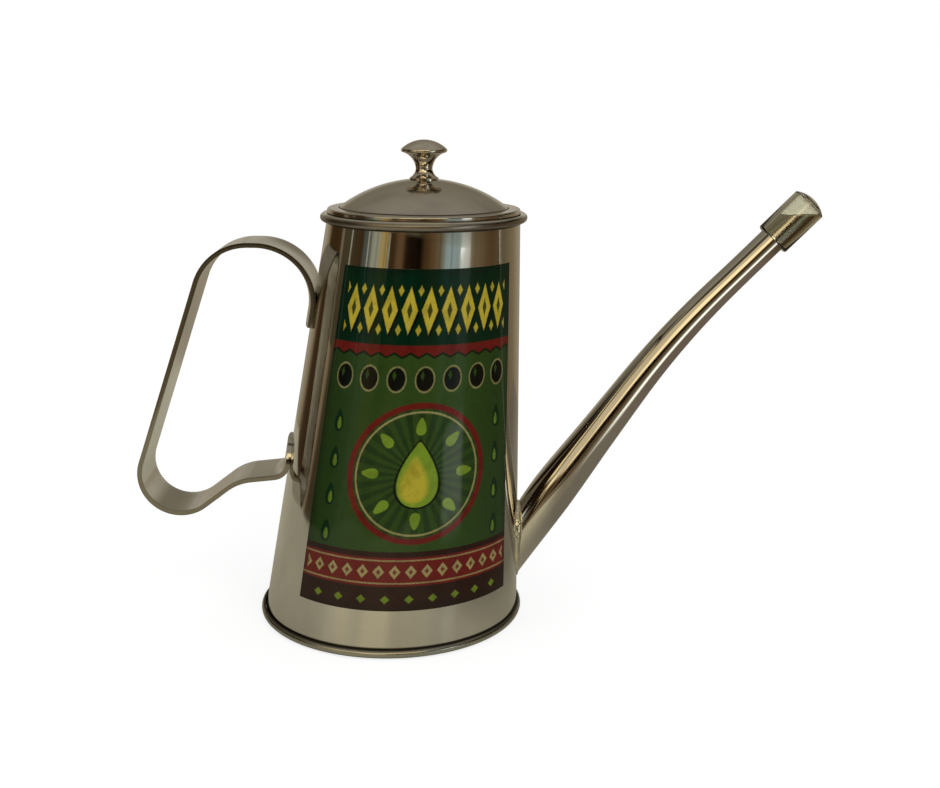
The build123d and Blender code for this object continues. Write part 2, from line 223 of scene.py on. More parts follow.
def polishMarksGroup():
    # smears, fine polishing lines and the slight waves of thin sheet
    group = bpy.data.node_groups.new("polishMarks", 'ShaderNodeTree')
    place = objectPlace(group)
    marks = {"Smears": spread(group, noiseAt(group, place, 42, 5, (1, 1, 0.45), 0.6), 0.3, 0.72),
             "Lines": noiseAt(group, place, 1500, 2, (1, 1, 0.03)),
             "Waves": noiseAt(group, place, 34, 2, (1, 1, 0.6))}
    for name in marks:
        group.interface.new_socket(name=name, in_out='OUTPUT', socket_type='NodeSocketFloat')
    addNode(group, 'NodeGroupOutput', None, marks)
    return group


polishMarks = polishMarksGroup()


# finishes, dirt and painted shade that only some places of the metal have, with sizes in millimetres
dullShadedCurl = {"low": (157.8, 158.3), "high": (160.9, 161.3), "roughness": 0.26}
grooveDirtAndShade = {"tone": (0.03, 0.022, 0.014), "cover": 0.9, "roughness": 0.3, "coreShare": 0.6}
shearedEdgeShade = {"tone": (0.27, 0.25, 0.21), "fade": 0.12, "cornerFade": 0.15, "cornerPolish": 0.03}


def dirtAndShadeMask(tree, places):
    # dirt and painted shade in grooves and just under the rolled mouth, each as axis, distance from it, half
    # width, height and half height
    x, y, z = axesOf(tree, objectPlace(tree))
    dirtAndShade = 0.0
    for axis, middle, halfWidth, height, halfHeight in places:
        reach = lengthOf(tree, calc(tree, 'SUBTRACT', x, axis * millimetre), y)
        mask = 1.0
        for value, centre, half in ((reach, middle, halfWidth), (z, height, halfHeight)):
            gap = gapFrom(tree, value, centre * millimetre)
            end = half * millimetre
            mask = calc(tree, 'MULTIPLY', mask, spread(tree, gap, end * grooveDirtAndShade["coreShare"], end, 1, 0))
        dirtAndShade = calc(tree, 'MAXIMUM', dirtAndShade, mask)
    return dirtAndShade


def sheetMetal(name, look):
    # look: two tones that the smears blend, the range of roughness, the depth of waves and lines in
    # metres, places of dirt and painted shade, the tone of the dull rolled mouth below its bright crown, a
    # painted shade, and how many millimetres from the strap's middle line its polished corner and its
    # sheared edge, dark with painted shade, begin
    material, tree, shader = newMaterial(name, Metallic=1.0)
    marks = addNode(tree, 'ShaderNodeGroup', {'node_tree': polishMarks}).outputs
    _, side, height = axesOf(tree, objectPlace(tree))
    tone = blend(tree, marks["Smears"], look["clean"], look["worn"])
    rough = spread(tree, marks["Smears"], 0, 1, *look["rough"])
    # the rolled mouth below its crown is rougher, and its darker tone there is painted shade
    if "dullAndShaded" in look:
        (lowFrom, lowTo), (highFrom, highTo) = dullShadedCurl["low"], dullShadedCurl["high"]
        dullAndShaded = calc(tree, 'MULTIPLY', spread(tree, height, lowFrom * millimetre, lowTo * millimetre),
                    spread(tree, height, highFrom * millimetre, highTo * millimetre, 1, 0))
        tone = blend(tree, dullAndShaded, tone, look["dullAndShaded"])
        rough = calc(tree, 'ADD', rough, calc(tree, 'MULTIPLY', dullAndShaded, dullShadedCurl["roughness"]))
    # grooves and the wall just under the rolled mouth are darkened: dirt together with painted shade
    if "dirtAndShade" in look:
        dirtAndShade = dirtAndShadeMask(tree, look["dirtAndShade"])
        tone = blend(tree, calc(tree, 'MULTIPLY', dirtAndShade, grooveDirtAndShade["cover"]), tone, grooveDirtAndShade["tone"])
        rough = calc(tree, 'ADD', rough, calc(tree, 'MULTIPLY', dirtAndShade, grooveDirtAndShade["roughness"]))
    # the strap's sheared side faces get a dark tone that is painted shade; the polished corner only lowers
    # roughness
    if "edge" in look:
        corner, edge = look["edge"]
        side = calc(tree, 'ABSOLUTE', side)
        shadedSide = spread(tree, side, edge * millimetre, (edge + shearedEdgeShade["fade"]) * millimetre)
        tone = blend(tree, shadedSide, tone, shearedEdgeShade["tone"])
        polished = spread(tree, side, corner * millimetre, (corner + shearedEdgeShade["cornerFade"]) * millimetre)
        rough = calc(tree, 'SUBTRACT', rough, calc(tree, 'MULTIPLY', polished, shearedEdgeShade["cornerPolish"]))
    tree.links.new(tone, shader.inputs["Base Color"])
    rough = calc(tree, 'ADD', rough, spread(tree, marks["Lines"], 0.35, 0.65, -0.02, 0.02))
    tree.links.new(rough, shader.inputs["Roughness"])
    waves = bumpFrom(tree, marks["Waves"], look["waves"])
    lines = bumpFrom(tree, marks["Lines"], look["lines"], {'Normal': waves})
    tree.links.new(lines, shader.inputs["Normal"])
    return material


bodySteel = sheetMetal("polishedBodySteel", {
    "clean": (0.68, 0.655, 0.61), "worn": (0.6, 0.575, 0.525), "rough": (0.04, 0.085), "waves": 0.00012,
    # the rolled mouth's darker tone below its bright crown is painted shade
    "lines": 0.0000003, "dullAndShaded": (0.31, 0.28, 0.245),
    # the dark line in the groove at the foot is dirt and painted shade; the dark band just under the rolled
    # mouth is painted shadow
    "dirtAndShade": ((0.0, 51.0, 2.2, 3.0, 1.1), (can["lean"], 37.9, 1.4, 158.3, 0.6))})
seamSteel = sheetMetal("rolledSeamSteel", {
    "clean": (0.46, 0.455, 0.41), "worn": (0.38, 0.375, 0.335), "rough": (0.2, 0.32), "waves": 0.00008,
    # the dark line where the seam meets the wall is dirt and painted shade
    "lines": 0.000001, "dirtAndShade": ((0.0, 51.4, 1.5, 3.2, 0.8),)})
strapSteel = sheetMetal("satinStrapSteel", {
    "clean": (0.66, 0.64, 0.59), "worn": (0.58, 0.56, 0.51), "rough": (0.13, 0.21), "waves": 0.00002,
    # the dark tone of its sheared edge is painted shade
    "lines": 0.0000003, "edge": (11.15, 11.6)})
spoutSteel = sheetMetal("polishedSpoutSteel", {
    "clean": (0.67, 0.64, 0.585), "worn": (0.59, 0.555, 0.495), "rough": (0.05, 0.1), "waves": 0.0001,
    "lines": 0.0000002})
lidSteel = sheetMetal("polishedLidSteel", {
    "clean": (0.6, 0.57, 0.52), "worn": (0.56, 0.525, 0.47), "rough": (0.08, 0.15), "waves": 0.00005,
    "lines": 0.0000003,
    # the dark groove round the dome and the dark line where the lid meets the mouth are dirt and painted
    # shade
    "dirtAndShade": ((can["lean"], 32.5, 0.32, 163.6, 0.5), (can["lean"], 37.1, 0.6, 161.6, 0.3))})
knobNickel = sheetMetal("brightKnobNickel", {
    "clean": (0.72, 0.67, 0.6), "worn": (0.64, 0.59, 0.51), "rough": (0.03, 0.07), "waves": 0.00001,
    "lines": 0.0000002})
boltSteel = sheetMetal("plainBoltSteel", {
    "clean": (0.6, 0.59, 0.57), "worn": (0.5, 0.48, 0.45), "rough": (0.2, 0.34), "waves": 0.00001,
    "lines": 0.000002})


def weldMaterial():
    # pale matt metal, scaly along the bead and with brighter crests
    material, tree, shader = newMaterial("paleWeldMetal", Metallic=1.0)
    place = objectPlace(tree)
    scales = noiseAt(tree, place, 520, 3)
    patches = noiseAt(tree, place, 160, 4)
    tree.links.new(blend(tree, spread(tree, patches, 0.35, 0.65), (0.86, 0.81, 0.64), (0.68, 0.66, 0.53)),
                   shader.inputs["Base Color"])
    tree.links.new(spread(tree, patches, 0.3, 0.7, 0.12, 0.3), shader.inputs["Roughness"])
    tree.links.new(bumpFrom(tree, scales, 0.0002), shader.inputs["Normal"])
    return material


weldMetal = weldMaterial()


def capMaterial():
    # clear plastic with a faint green cast, rubbed a little dull
    material, tree, shader = newMaterial("clearCapPlastic", Transmission_Weight=1.0, IOR=1.49)
    place = objectPlace(tree)
    rubbed = noiseAt(tree, place, 260, 4)
    tree.links.new(blend(tree, rubbed, (0.75, 0.735, 0.62), (0.7, 0.68, 0.56)), shader.inputs["Base Color"])
    tree.links.new(spread(tree, rubbed, 0.35, 0.7, 0.0, 0.04), shader.inputs["Roughness"])
    return material


clearPlastic = capMaterial()

# Label print: a plain pattern of lozenges, rings, rays and drops on a green ground, drawn in
# millimetres across from the label's middle line and up from its foot

ink = {"pine": (0.0015, 0.016, 0.006), "leaf": (0.026, 0.056, 0.009), "moss": (0.012, 0.028, 0.007),
       "gold": (0.42, 0.33, 0.03), "straw": (0.3, 0.26, 0.1), "ember": (0.11, 0.009, 0.0065),
       "bark": (0.019, 0.0065, 0.0035), "soot": (0.003, 0.004, 0.0025), "lime": (0.15, 0.23, 0.018)}
printPlan = {"width": 82.0, "height": 126.8, "softEdge": 0.22, "wander": 0.5, "darkSides": (12.0, 44.0),
             "film": 0.00012}


def startSheet(tree):
    # the green ground, and what every shape laid on it needs: the place on the label and the wander
    across, up, _ = axesOf(tree, addNode(tree, 'ShaderNodeUVMap', {'uv_map': "labelSheet"}).outputs[0])
    x = calc(tree, 'MULTIPLY', calc(tree, 'SUBTRACT', across, 0.5), printPlan["width"])
    y = calc(tree, 'MULTIPLY', up, printPlan["height"])
    flat = addNode(tree, 'ShaderNodeCombineXYZ', None, {'X': x, 'Y': y}).outputs[0]
    mottle = noiseAt(tree, flat, 0.16, 6, roughness=0.62)
    grain = noiseAt(tree, flat, 1.4, 4)
    wander = calc(tree, 'MULTIPLY', calc(tree, 'SUBTRACT', grain, 0.5), printPlan["wander"])
    side = spread(tree, calc(tree, 'ABSOLUTE', x), *printPlan["darkSides"])
    shade = calc(tree, 'ADD', calc(tree, 'MULTIPLY', side, 0.75),
                 spread(tree, mottle, 0.3, 0.75, -0.15, 0.45), clamp=True)
    return {"tree": tree, "x": x, "y": y, "flat": flat, "mottle": mottle, "wander": wander,
            "paint": blend(tree, shade, ink["leaf"], ink["moss"])}


def lay(sheet, distance, colour, strength=1.0, soft=printPlan["softEdge"]):
    # inks a shape, where the distance from its outline is below 0, with an edge that isn't quite straight
    tree = sheet["tree"]
    mask = spread(tree, calc(tree, 'ADD', distance, sheet["wander"]), -soft, soft, 1, 0)
    sheet["paint"] = blend(tree, calc(tree, 'MULTIPLY', mask, strength), sheet["paint"], ink[colour])


def band(sheet, low, high):
    tree, y = sheet["tree"], sheet["y"]
    return calc(tree, 'MAXIMUM', calc(tree, 'SUBTRACT', low, y), calc(tree, 'SUBTRACT', y, high))


def repeated(sheet, gap, shift=0.0):
    tree = sheet["tree"]
    return calc(tree, 'WRAP', calc(tree, 'ADD', sheet["x"], shift), gap / 2, -gap / 2)


def within(sheet, distance, halfReach):
    tree = sheet["tree"]
    beyond = calc(tree, 'SUBTRACT', calc(tree, 'ABSOLUTE', sheet["x"]), halfReach)
    return calc(tree, 'MAXIMUM', distance, beyond)


def lozengeRow(sheet, row, middle, halfSize, shift=0.0, aside=0.0):
    tree = sheet["tree"]
    halfWidth, halfHeight = halfSize
    across = calc(tree, 'ADD', repeated(sheet, row["gap"], shift), aside)
    edge = calc(tree, 'ADD', calc(tree, 'DIVIDE', calc(tree, 'ABSOLUTE', across), halfWidth),
                calc(tree, 'DIVIDE', gapFrom(tree, sheet["y"], middle), halfHeight))
    distance = calc(tree, 'MULTIPLY', calc(tree, 'SUBTRACT', edge, 1.0), halfWidth)
    return within(sheet, distance, row["halfReach"])


def drop(sheet, across, up, size):
    # round at the foot, pointed at the top
    tree = sheet["tree"]
    halfWidth, height = size
    fullness, blunt = 2.6, 0.6
    share = calc(tree, 'DIVIDE', up, height, clamp=True)  # half the width follows root(share) * (1 - share)
    wide = calc(tree, 'MULTIPLY', calc(tree, 'SQRT', share), calc(tree, 'SUBTRACT', 1.0, share))
    wide = calc(tree, 'MULTIPLY', wide, fullness * halfWidth)
    aside = calc(tree, 'SUBTRACT', calc(tree, 'ABSOLUTE', across), wide)
    below = calc(tree, 'MULTIPLY', up, -1.0)
    past = calc(tree, 'MAXIMUM', below, calc(tree, 'SUBTRACT', up, height - blunt))
    return calc(tree, 'MAXIMUM', aside, past)


medallion = {"centre": 52.0, "radius": 25.5, "rim": 1.1, "lineInside": 2.4, "line": 0.35, "rays": 28,
             "raySteepness": 18.0, "seeds": 8, "seedReach": 14.5, "seedSize": (1.9, 7.0), "dropBelow": 12.5,
             "dropSize": (7.6, 25.0), "outlineSize": (8.6, 26.5), "outlineBelow": 0.7,
             "glowSize": (5.0, 17.5), "glowAside": 1.2, "glowAbove": 1.6, "glowSoft": 1.2}


def printMedallion(sheet):
    # a disc of rays with a rim, a ring of small drops and a golden oil drop
    tree, x = sheet["tree"], sheet["x"]
    fromCentre = calc(tree, 'SUBTRACT', sheet["y"], medallion["centre"])
    radius = lengthOf(tree, x, fromCentre)
    turn = calc(tree, 'ARCTAN2', x, fromCentre)
    sector = fullTurn / medallion["rays"]
    ray = calc(tree, 'SUBTRACT', calc(tree, 'PINGPONG', turn, sector / 2), sector / 4)
    ray = calc(tree, 'MULTIPLY', ray, medallion["raySteepness"])
    disc = calc(tree, 'SUBTRACT', radius, medallion["radius"])
    lay(sheet, calc(tree, 'MAXIMUM', disc, ray), "moss", 0.75)
    rims = ((medallion["radius"], medallion["rim"], "ember", 1),
            (medallion["radius"] - medallion["lineInside"], medallion["line"], "straw", 0.8))
    for middle, half, colour, strength in rims:
        lay(sheet, calc(tree, 'SUBTRACT', gapFrom(tree, radius, middle), half), colour, strength)
    halfSeed = fullTurn / (2 * medallion["seeds"])
    across = calc(tree, 'MULTIPLY', calc(tree, 'WRAP', turn, halfSeed, -halfSeed), radius)
    reach = calc(tree, 'SUBTRACT', radius, medallion["seedReach"])
    lay(sheet, drop(sheet, across, reach, medallion["seedSize"]), "lime", 0.9)
    up = calc(tree, 'ADD', fromCentre, medallion["dropBelow"])
    below = calc(tree, 'ADD', up, medallion["outlineBelow"])
    lay(sheet, drop(sheet, x, below, medallion["outlineSize"]), "soot", 0.9)
    lay(sheet, drop(sheet, x, up, medallion["dropSize"]), "lime")
    aside = calc(tree, 'ADD', x, medallion["glowAside"])
    above = calc(tree, 'SUBTRACT', up, medallion["glowAbove"])
    lay(sheet, drop(sheet, aside, above, medallion["glowSize"]), "gold", 0.85, medallion["glowSoft"])


beads = {"middle": 87.0, "gap": 11.0, "halfReach": 38.4, "radius": 3.9, "squeeze": 0.8, "rim": 0.45,
         "glintSize": (0.8, 1.9), "glintAside": 1.0, "glintAbove": 1.4}


def printBeads(sheet):
    # dark beads in a row, each with a pale rim
    tree = sheet["tree"]
    up = calc(tree, 'MULTIPLY', calc(tree, 'SUBTRACT', sheet["y"], beads["middle"]), beads["squeeze"])
    reach = lengthOf(tree, repeated(sheet, beads["gap"]), up)
    bead = within(sheet, calc(tree, 'SUBTRACT', reach, beads["radius"]), beads["halfReach"])
    lay(sheet, bead, "straw", 0.7)
    lay(sheet, calc(tree, 'ADD', bead, beads["rim"]), "soot")
    lay(sheet, lozengeRow(sheet, beads, beads["middle"] + beads["glintAbove"], beads["glintSize"],
                          aside=beads["glintAside"]), "leaf", 0.9)


sideDrops = {"fromMiddle": 33.0, "feet": (24.0, 38.0, 52.0, 66.0), "size": (2.1, 9.0),
             "coreSize": (0.9, 5.0), "coreAside": 0.3, "coreAbove": 1.0}


def printSideDrops(sheet):
    # small drops up both sides of the field
    tree = sheet["tree"]
    across = calc(tree, 'SUBTRACT', calc(tree, 'ABSOLUTE', sheet["x"]), sideDrops["fromMiddle"])
    coreAcross = calc(tree, 'ADD', across, sideDrops["coreAside"])
    for foot in sideDrops["feet"]:
        up = calc(tree, 'SUBTRACT', sheet["y"], foot)
        lay(sheet, drop(sheet, across, up, sideDrops["size"]), "pine", 0.85)
        coreUp = calc(tree, 'SUBTRACT', sheet["y"], foot + sideDrops["coreAbove"])
        lay(sheet, drop(sheet, coreAcross, coreUp, sideDrops["coreSize"]), "lime", 0.6)


panel = {"foot": 97.0, "rule": 2.4, "ruleShadow": 0.9, "scallop": 6.4, "scallopSlope": 0.5, "middle": 112.0,
         "gap": 8.2, "halfReach": 36.9, "size": (3.3, 8.6), "coreSize": (1.1, 3.2), "shadowAside": 0.5,
         "shadowBelow": 0.7, "shadowMore": (0.5, 0.6), "betweenSize": (1.2, 2.0), "betweenInside": 1.5}


def printPanel(sheet):
    # top panel with a scalloped red rule and a row of tall yellow lozenges
    tree, y, middle = sheet["tree"], sheet["y"], panel["middle"]
    scallop = calc(tree, 'ABSOLUTE', repeated(sheet, panel["scallop"]))
    scallop = calc(tree, 'MULTIPLY', scallop, panel["scallopSlope"])
    wavy = calc(tree, 'SUBTRACT', calc(tree, 'SUBTRACT', panel["foot"], scallop), y)
    lay(sheet, calc(tree, 'SUBTRACT', wavy, panel["ruleShadow"]), "soot", 0.85)
    lay(sheet, wavy, "ember")
    lay(sheet, calc(tree, 'SUBTRACT', panel["foot"] + panel["rule"], y), "pine")
    shadowSize = [size + more for size, more in zip(panel["size"], panel["shadowMore"])]
    lay(sheet, lozengeRow(sheet, panel, middle - panel["shadowBelow"], shadowSize,
                          aside=-panel["shadowAside"]), "soot", 0.9)
    lay(sheet, lozengeRow(sheet, panel, middle, panel["size"]), "gold")
    lay(sheet, lozengeRow(sheet, panel, middle, panel["coreSize"]), "pine", 0.9)
    fromMiddle = panel["size"][1] - panel["betweenInside"]
    for end in (middle + fromMiddle, middle - fromMiddle):
        lay(sheet, lozengeRow(sheet, panel, end, panel["betweenSize"], panel["gap"] / 2), "gold", 0.85)


footBand = {"low": 9.5, "high": 20.5, "ground": 2.2, "lines": (0.9, 1.4), "gap": 5.6, "halfReach": 39.2,
            "size": (2.0, 2.6), "coreSize": (0.8, 1.1)}
footRow = {"middle": 4.4, "gap": 8.2, "halfReach": 37.0, "size": (1.6, 1.6)}


def printFoot(sheet):
    # bark ground, a straight red band between two straw lines, and a row of small lozenges below it
    low, high = footBand["low"], footBand["high"]
    near, far = footBand["lines"]
    lay(sheet, calc(sheet["tree"], 'SUBTRACT', sheet["y"], high + footBand["ground"]), "bark")
    lay(sheet, band(sheet, low, high), "ember")
    lay(sheet, band(sheet, low + near, low + far), "straw", 0.75)
    lay(sheet, band(sheet, high - far, high - near), "straw", 0.75)
    lay(sheet, lozengeRow(sheet, footBand, (low + high) / 2, footBand["size"]), "straw", 0.85)
    lay(sheet, lozengeRow(sheet, footBand, (low + high) / 2, footBand["coreSize"]), "ember", 0.9)
    lay(sheet, lozengeRow(sheet, footRow, footRow["middle"], footRow["size"]), "lime", 0.7)


def agePrint(sheet):
    # cloudy tone all over, dark flecks, dirt creeping in from the edges
    tree, y, mottle = sheet["tree"], sheet["y"], sheet["mottle"]
    paint = dim(tree, sheet["paint"], spread(tree, mottle, 0.25, 0.75, 0.62, 1.3))
    flecks = spread(tree, noiseAt(tree, sheet["flat"], 0.9, 5, (1, 1.3, 1), 0.7), 0.6, 0.7)
    paint = blend(tree, calc(tree, 'MULTIPLY', flecks, 0.55), paint, ink["soot"])
    fromSide = calc(tree, 'SUBTRACT', printPlan["width"] / 2, calc(tree, 'ABSOLUTE', sheet["x"]))
    fromEnd = calc(tree, 'MINIMUM', y, calc(tree, 'SUBTRACT', printPlan["height"], y))
    fromEdge = calc(tree, 'MINIMUM', fromSide, fromEnd)
    fromEdge = calc(tree, 'ADD', fromEdge, calc(tree, 'MULTIPLY', mottle, 4.0))
    return blend(tree, spread(tree, fromEdge, 1.0, 5.5, 0.6, 0), paint, ink["soot"])


def labelMaterial():
    material, tree, shader = newMaterial("printedLabel", Coat_Weight=0.6, Coat_Roughness=0.03,
                                         Roughness=0.45, Specular_IOR_Level=0.0)
    sheet = startSheet(tree)
    for printPart in (printMedallion, printBeads, printSideDrops, printPanel, printFoot):
        printPart(sheet)
    tree.links.new(agePrint(sheet), shader.inputs["Base Color"])
    tree.links.new(spread(tree, sheet["mottle"], 0.3, 0.7, 0.35, 0.55), shader.inputs["Roughness"])
    bump = bumpFrom(tree, noiseAt(tree, sheet["flat"], 0.05, 2), printPlan["film"])
    tree.links.new(bump, shader.inputs["Normal"])
    tree.links.new(bump, shader.inputs["Coat Normal"])
    return material


labelPrint = labelMaterial()


# Body: wall, rolled mouth and the hook inside the base seam, one sheet from end to end

body = {"curlRadius": 1.6, "curlEnd": -97.0, "curlSteps": 22, "wallRows": 20, "steps": 256,
        "footHeight": 1.12, "hookRadius": 52.4}


def makeBody():
    sheet = can["sheet"]
    foot = body["footHeight"]
    curl = (can["mouthRadius"] - sheet + body["curlRadius"], can["height"])
    rows = body["wallRows"]
    points = []
    for row in range(rows):  # up the inside
        z = foot + (can["height"] - foot) * row / rows
        points.append((wallRadius(z) - sheet, z))
    points += arcPoints(curl, body["curlRadius"], 180, body["curlEnd"], body["curlSteps"])
    points += arcPoints(curl, body["curlRadius"] - sheet, body["curlEnd"], 180, body["curlSteps"])
    for row in range(rows - 1, -1, -1):  # down the outside to the hook
        z = foot + sheet + (can["height"] - foot - sheet) * row / rows
        points.append((wallRadius(z), z))
    points += [(body["hookRadius"], foot + sheet), (body["hookRadius"], foot)]
    bm = spinSection(points, body["steps"])
    leanOver(bm)
    finishPiece(bm, "bodyWall", "can", bodySteel, ["body_shell"])


# Base: a raised panel whose rim is rolled round the wall's hook

base = {"tubeRadius": 1.7, "tubeInset": 0.1, "panelFrom": 144.0, "innerEdge": 118.0, "outerEdge": 445.0,
        "undersideEdge": 162.9, "lift": 0.08, "steps": 256}


def makeBase():
    sheet = can["sheet"]
    radius = base["tubeRadius"]
    centre = (can["baseRadius"] - base["tubeInset"], radius - base["lift"])
    outline = [(0, centre[1] + 2 * sheet), (centre[0] * 0.5, centre[1] + 2 * sheet)]
    outline += arcPoints(centre, radius, base["panelFrom"], base["innerEdge"], 4)
    outline += arcPoints(centre, radius - sheet, base["innerEdge"], base["outerEdge"], 34)
    outline += arcPoints(centre, radius, base["outerEdge"], base["undersideEdge"], 30)
    outline += [(centre[0] * 0.5, centre[1] + sheet), (0, centre[1] + sheet)]
    points = [(reach, max(z, 0.0)) for reach, z in outline]  # it stands on a narrow flat
    bm = spinSection(points, base["steps"], closed=False)
    finishPiece(bm, "baseSeam", "can", seamSteel, ["base_plate"])


# Handle: one strap, drawn as the route of its outer face

strap = {"width": 24.0, "sheet": 1.8, "topHeight": 118.0, "topTab": 6.8, "archRadius": 22.1, "crown": 1.56,
         "runLean": 18.7089, "run": 75.6, "heelRadius": 16.5, "riseAngle": 37.5, "rise": 10.9,
         "dipRadius": 18.8, "levelAngle": 6.0, "level": 7.8, "rootRadius": 7.0, "lowerTab": 9.6,
         "tabCorner": 9.0, "columns": 14, "cornerRows": 9, "bendStep": 2.5, "edgeRounding": 0.7}


def wallLean():
    # angle of the wall's line on the handle's side
    shift = wallCentre(can["height"]) + can["baseRadius"] - can["mouthRadius"]
    return degrees(atan2(can["height"], shift))


def headingVector(heading):
    return Vector((cos(radians(heading)), 0, sin(radians(heading))))


def withEdges(faces):
    # an extrusion takes the old faces away only when their edges are given too
    return faces + list(dict.fromkeys(edge for face in faces for edge in face.edges))


def drawStraight(bm, faces, length, heading, narrower=1.0):
    made = bmesh.ops.extrude_face_region(bm, geom=withEdges(faces))["geom"]
    verts = onlyOf(made, bmesh.types.BMVert)
    bmesh.ops.scale(bm, vec=(1, narrower, 1), verts=verts)
    bmesh.ops.translate(bm, vec=headingVector(heading) * length, verts=verts)
    return onlyOf(made, bmesh.types.BMFace)


def drawBend(bm, faces, point, radius, turn, heading):
    side = 90 if turn > 0 else -90
    centre = point + headingVector(heading + side) * radius
    steps = max(3, round(abs(turn) / strap["bendStep"]))
    made = bmesh.ops.spin(bm, geom=withEdges(faces), cent=centre, axis=(0, -1, 0), dvec=(0, 0, 0),
                          angle=radians(turn), steps=steps, use_merge=False, use_duplicate=False)
    heading += turn
    point = centre - headingVector(heading + side) * radius
    return onlyOf(made["geom_last"], bmesh.types.BMFace), point, heading


def formToWall(verts, height, leanAngle):
    # the flat strap is rolled to circles about the wall's own axis
    axis = Vector((wallCentre(height), 0, height))
    along = headingVector(leanAngle)
    for vert in verts:
        reach = (axis - vert.co).dot(along)
        vert.co += along * (reach - sqrt(max(reach * reach - vert.co.y ** 2, 0)))


def strapStart(lean):
    # the strap's end at the upper tab, as a flat grid that the wall's line crosses
    height = strap["topHeight"]
    point = Vector((wallCentre(height) - wallRadius(height), 0, height))
    thickness = headingVector(lean + 90) * strap["sheet"]
    start = point + thickness / 2
    place = Matrix.Translation(start) @ Matrix(((0, thickness.x, 0, 0),
                                                (strap["width"], 0, 0, 0),
                                                (0, thickness.z, 1, 0),
                                                (0, 0, 0, 1)))
    bm = bmesh.new()
    bmesh.ops.create_grid(bm, x_segments=strap["columns"], y_segments=1, size=0.5, matrix=place)
    return bm, point


def roundOff(bm, faces, heading):
    # the lower tab's rounded end
    corner = strap["tabCorner"]
    half = strap["width"] / 2
    reach, across = 0.0, half
    for row in range(1, strap["cornerRows"] + 1):
        angle = pi / 2 * row / strap["cornerRows"]
        newReach, newAcross = corner * sin(angle), half - corner + corner * cos(angle)
        faces = drawStraight(bm, faces, newReach - reach, heading, newAcross / across)
        reach, across = newReach, newAcross


def makeHandle():
    lean = wallLean()
    runHeading = 270 - strap["runLean"]
    bm, point = strapStart(lean)
    faces = bm.faces[:]
    heading = lean
    moves = [(strap["topTab"], None),
             (strap["archRadius"], 180 - lean),
             (strap["crown"], None),
             (strap["archRadius"], runHeading - 180),
             (strap["run"], None),
             (strap["heelRadius"], 360 + strap["riseAngle"] - runHeading),
             (strap["rise"], None),
             (strap["dipRadius"], strap["levelAngle"] - strap["riseAngle"]),
             (strap["level"], None),
             (strap["rootRadius"], lean - strap["levelAngle"]),
             (strap["lowerTab"] - strap["tabCorner"], None)]  # length, or radius and turn
    crownMove, levelMove = 2, 8
    for index, (size, turn) in enumerate(moves):
        if index == crownMove:
            topVerts = bm.verts[:]
        if index == levelMove:
            flatVerts = set(bm.verts)
        if turn is None:
            faces = drawStraight(bm, faces, size, heading)
            point = point + headingVector(heading) * size
        else:
            faces, point, heading = drawBend(bm, faces, point, size, turn, heading)
    tabEnd = point.z + headingVector(heading).z * strap["tabCorner"]
    roundOff(bm, faces, heading)
    formToWall(topVerts, strap["topHeight"], 0)
    formToWall([vert for vert in bm.verts if vert not in flatVerts], tabEnd, strap["levelAngle"])
    bmesh.ops.recalc_face_normals(bm, faces=bm.faces)
    softenEdges(bm, strap["edgeRounding"], segments=5, angle=50)
    finishPiece(bm, "handleStrap", "can", strapSteel, ["handle"])


# Spout: a long taper along a route that leaves the wall and bends twice

spout = {"footHeight": 27.17, "footAngle": 57.8, "widestRadius": 8.95, "tipRadius": 5.25,
         "insideLength": 20.0, "footLength": 10.0, "lowBend": (460.0, 3.1), "middleLength": 44.33,
         "highBend": (338.0, 8.9), "tipLength": 40.5, "tipStraight": 24.6,
         "rings": 50, "segments": 96, "seamRings": 8, "seamEnd": 22.0, "mouthRings": 4,
         "taper": ((-0.135, 0.55), (0, 0.74), (0.09, 0.92), (0.165, 0.992), (0.235, 0.924), (0.35, 0.692),
                   (0.52, 0.43), (0.685, 0.232), (0.9, 0.034), (1, 0))}


def spoutLength():
    bends = sum(radius * radians(turn) for radius, turn in (spout["lowBend"], spout["highBend"]))
    return sum((spout["footLength"], spout["middleLength"], spout["tipLength"], bends))


def spoutState(distance):
    # centre point and heading at a distance from where the spout's axis crosses the wall
    heading = spout["footAngle"]
    z = spout["footHeight"]
    point = Vector((wallCentre(z) + wallRadius(z), 0, z))
    left = distance
    for length, bend in ((spout["footLength"], spout["lowBend"]), (spout["middleLength"], spout["highBend"]),
                         (spout["tipLength"] + spout["tipStraight"], None)):
        part = min(left, length)
        point = point + headingVector(heading) * part
        left -= part
        if left <= 0 or bend is None:
            return point + headingVector(heading) * max(left, 0), heading
        radius, turn = bend
        angle = min(degrees(left / radius), turn)
        centre = point + headingVector(heading - 90) * radius
        heading -= angle
        point = centre + headingVector(heading + 90) * radius
        left -= radians(angle) * radius
    return point, heading


def spoutTaper(distance):
    # radius at a distance, by a smooth curve through the taper's stops
    stops = spout["taper"]
    share = min(max(distance / (spoutLength() - spout["tipStraight"]), stops[0][0]), 1)
    slopes = []
    for index in range(len(stops)):
        before, after = stops[max(index - 1, 0)], stops[min(index + 1, len(stops) - 1)]
        slopes.append((after[1] - before[1]) / (after[0] - before[0]))
    slopes[0] = slopes[-1] = 0
    index = next(index for index in range(len(stops) - 1) if share <= stops[index + 1][0])
    (low, lowValue), (high, highValue) = stops[index], stops[index + 1]
    span = high - low
    t = (share - low) / span
    value = (2 * t ** 3 - 3 * t ** 2 + 1) * lowValue + (3 * t ** 2 - 2 * t ** 3) * highValue
    value += ((t ** 3 - 2 * t ** 2 + t) * slopes[index] + (t ** 3 - t ** 2) * slopes[index + 1]) * span
    return spout["tipRadius"] + (spout["widestRadius"] - spout["tipRadius"]) * value


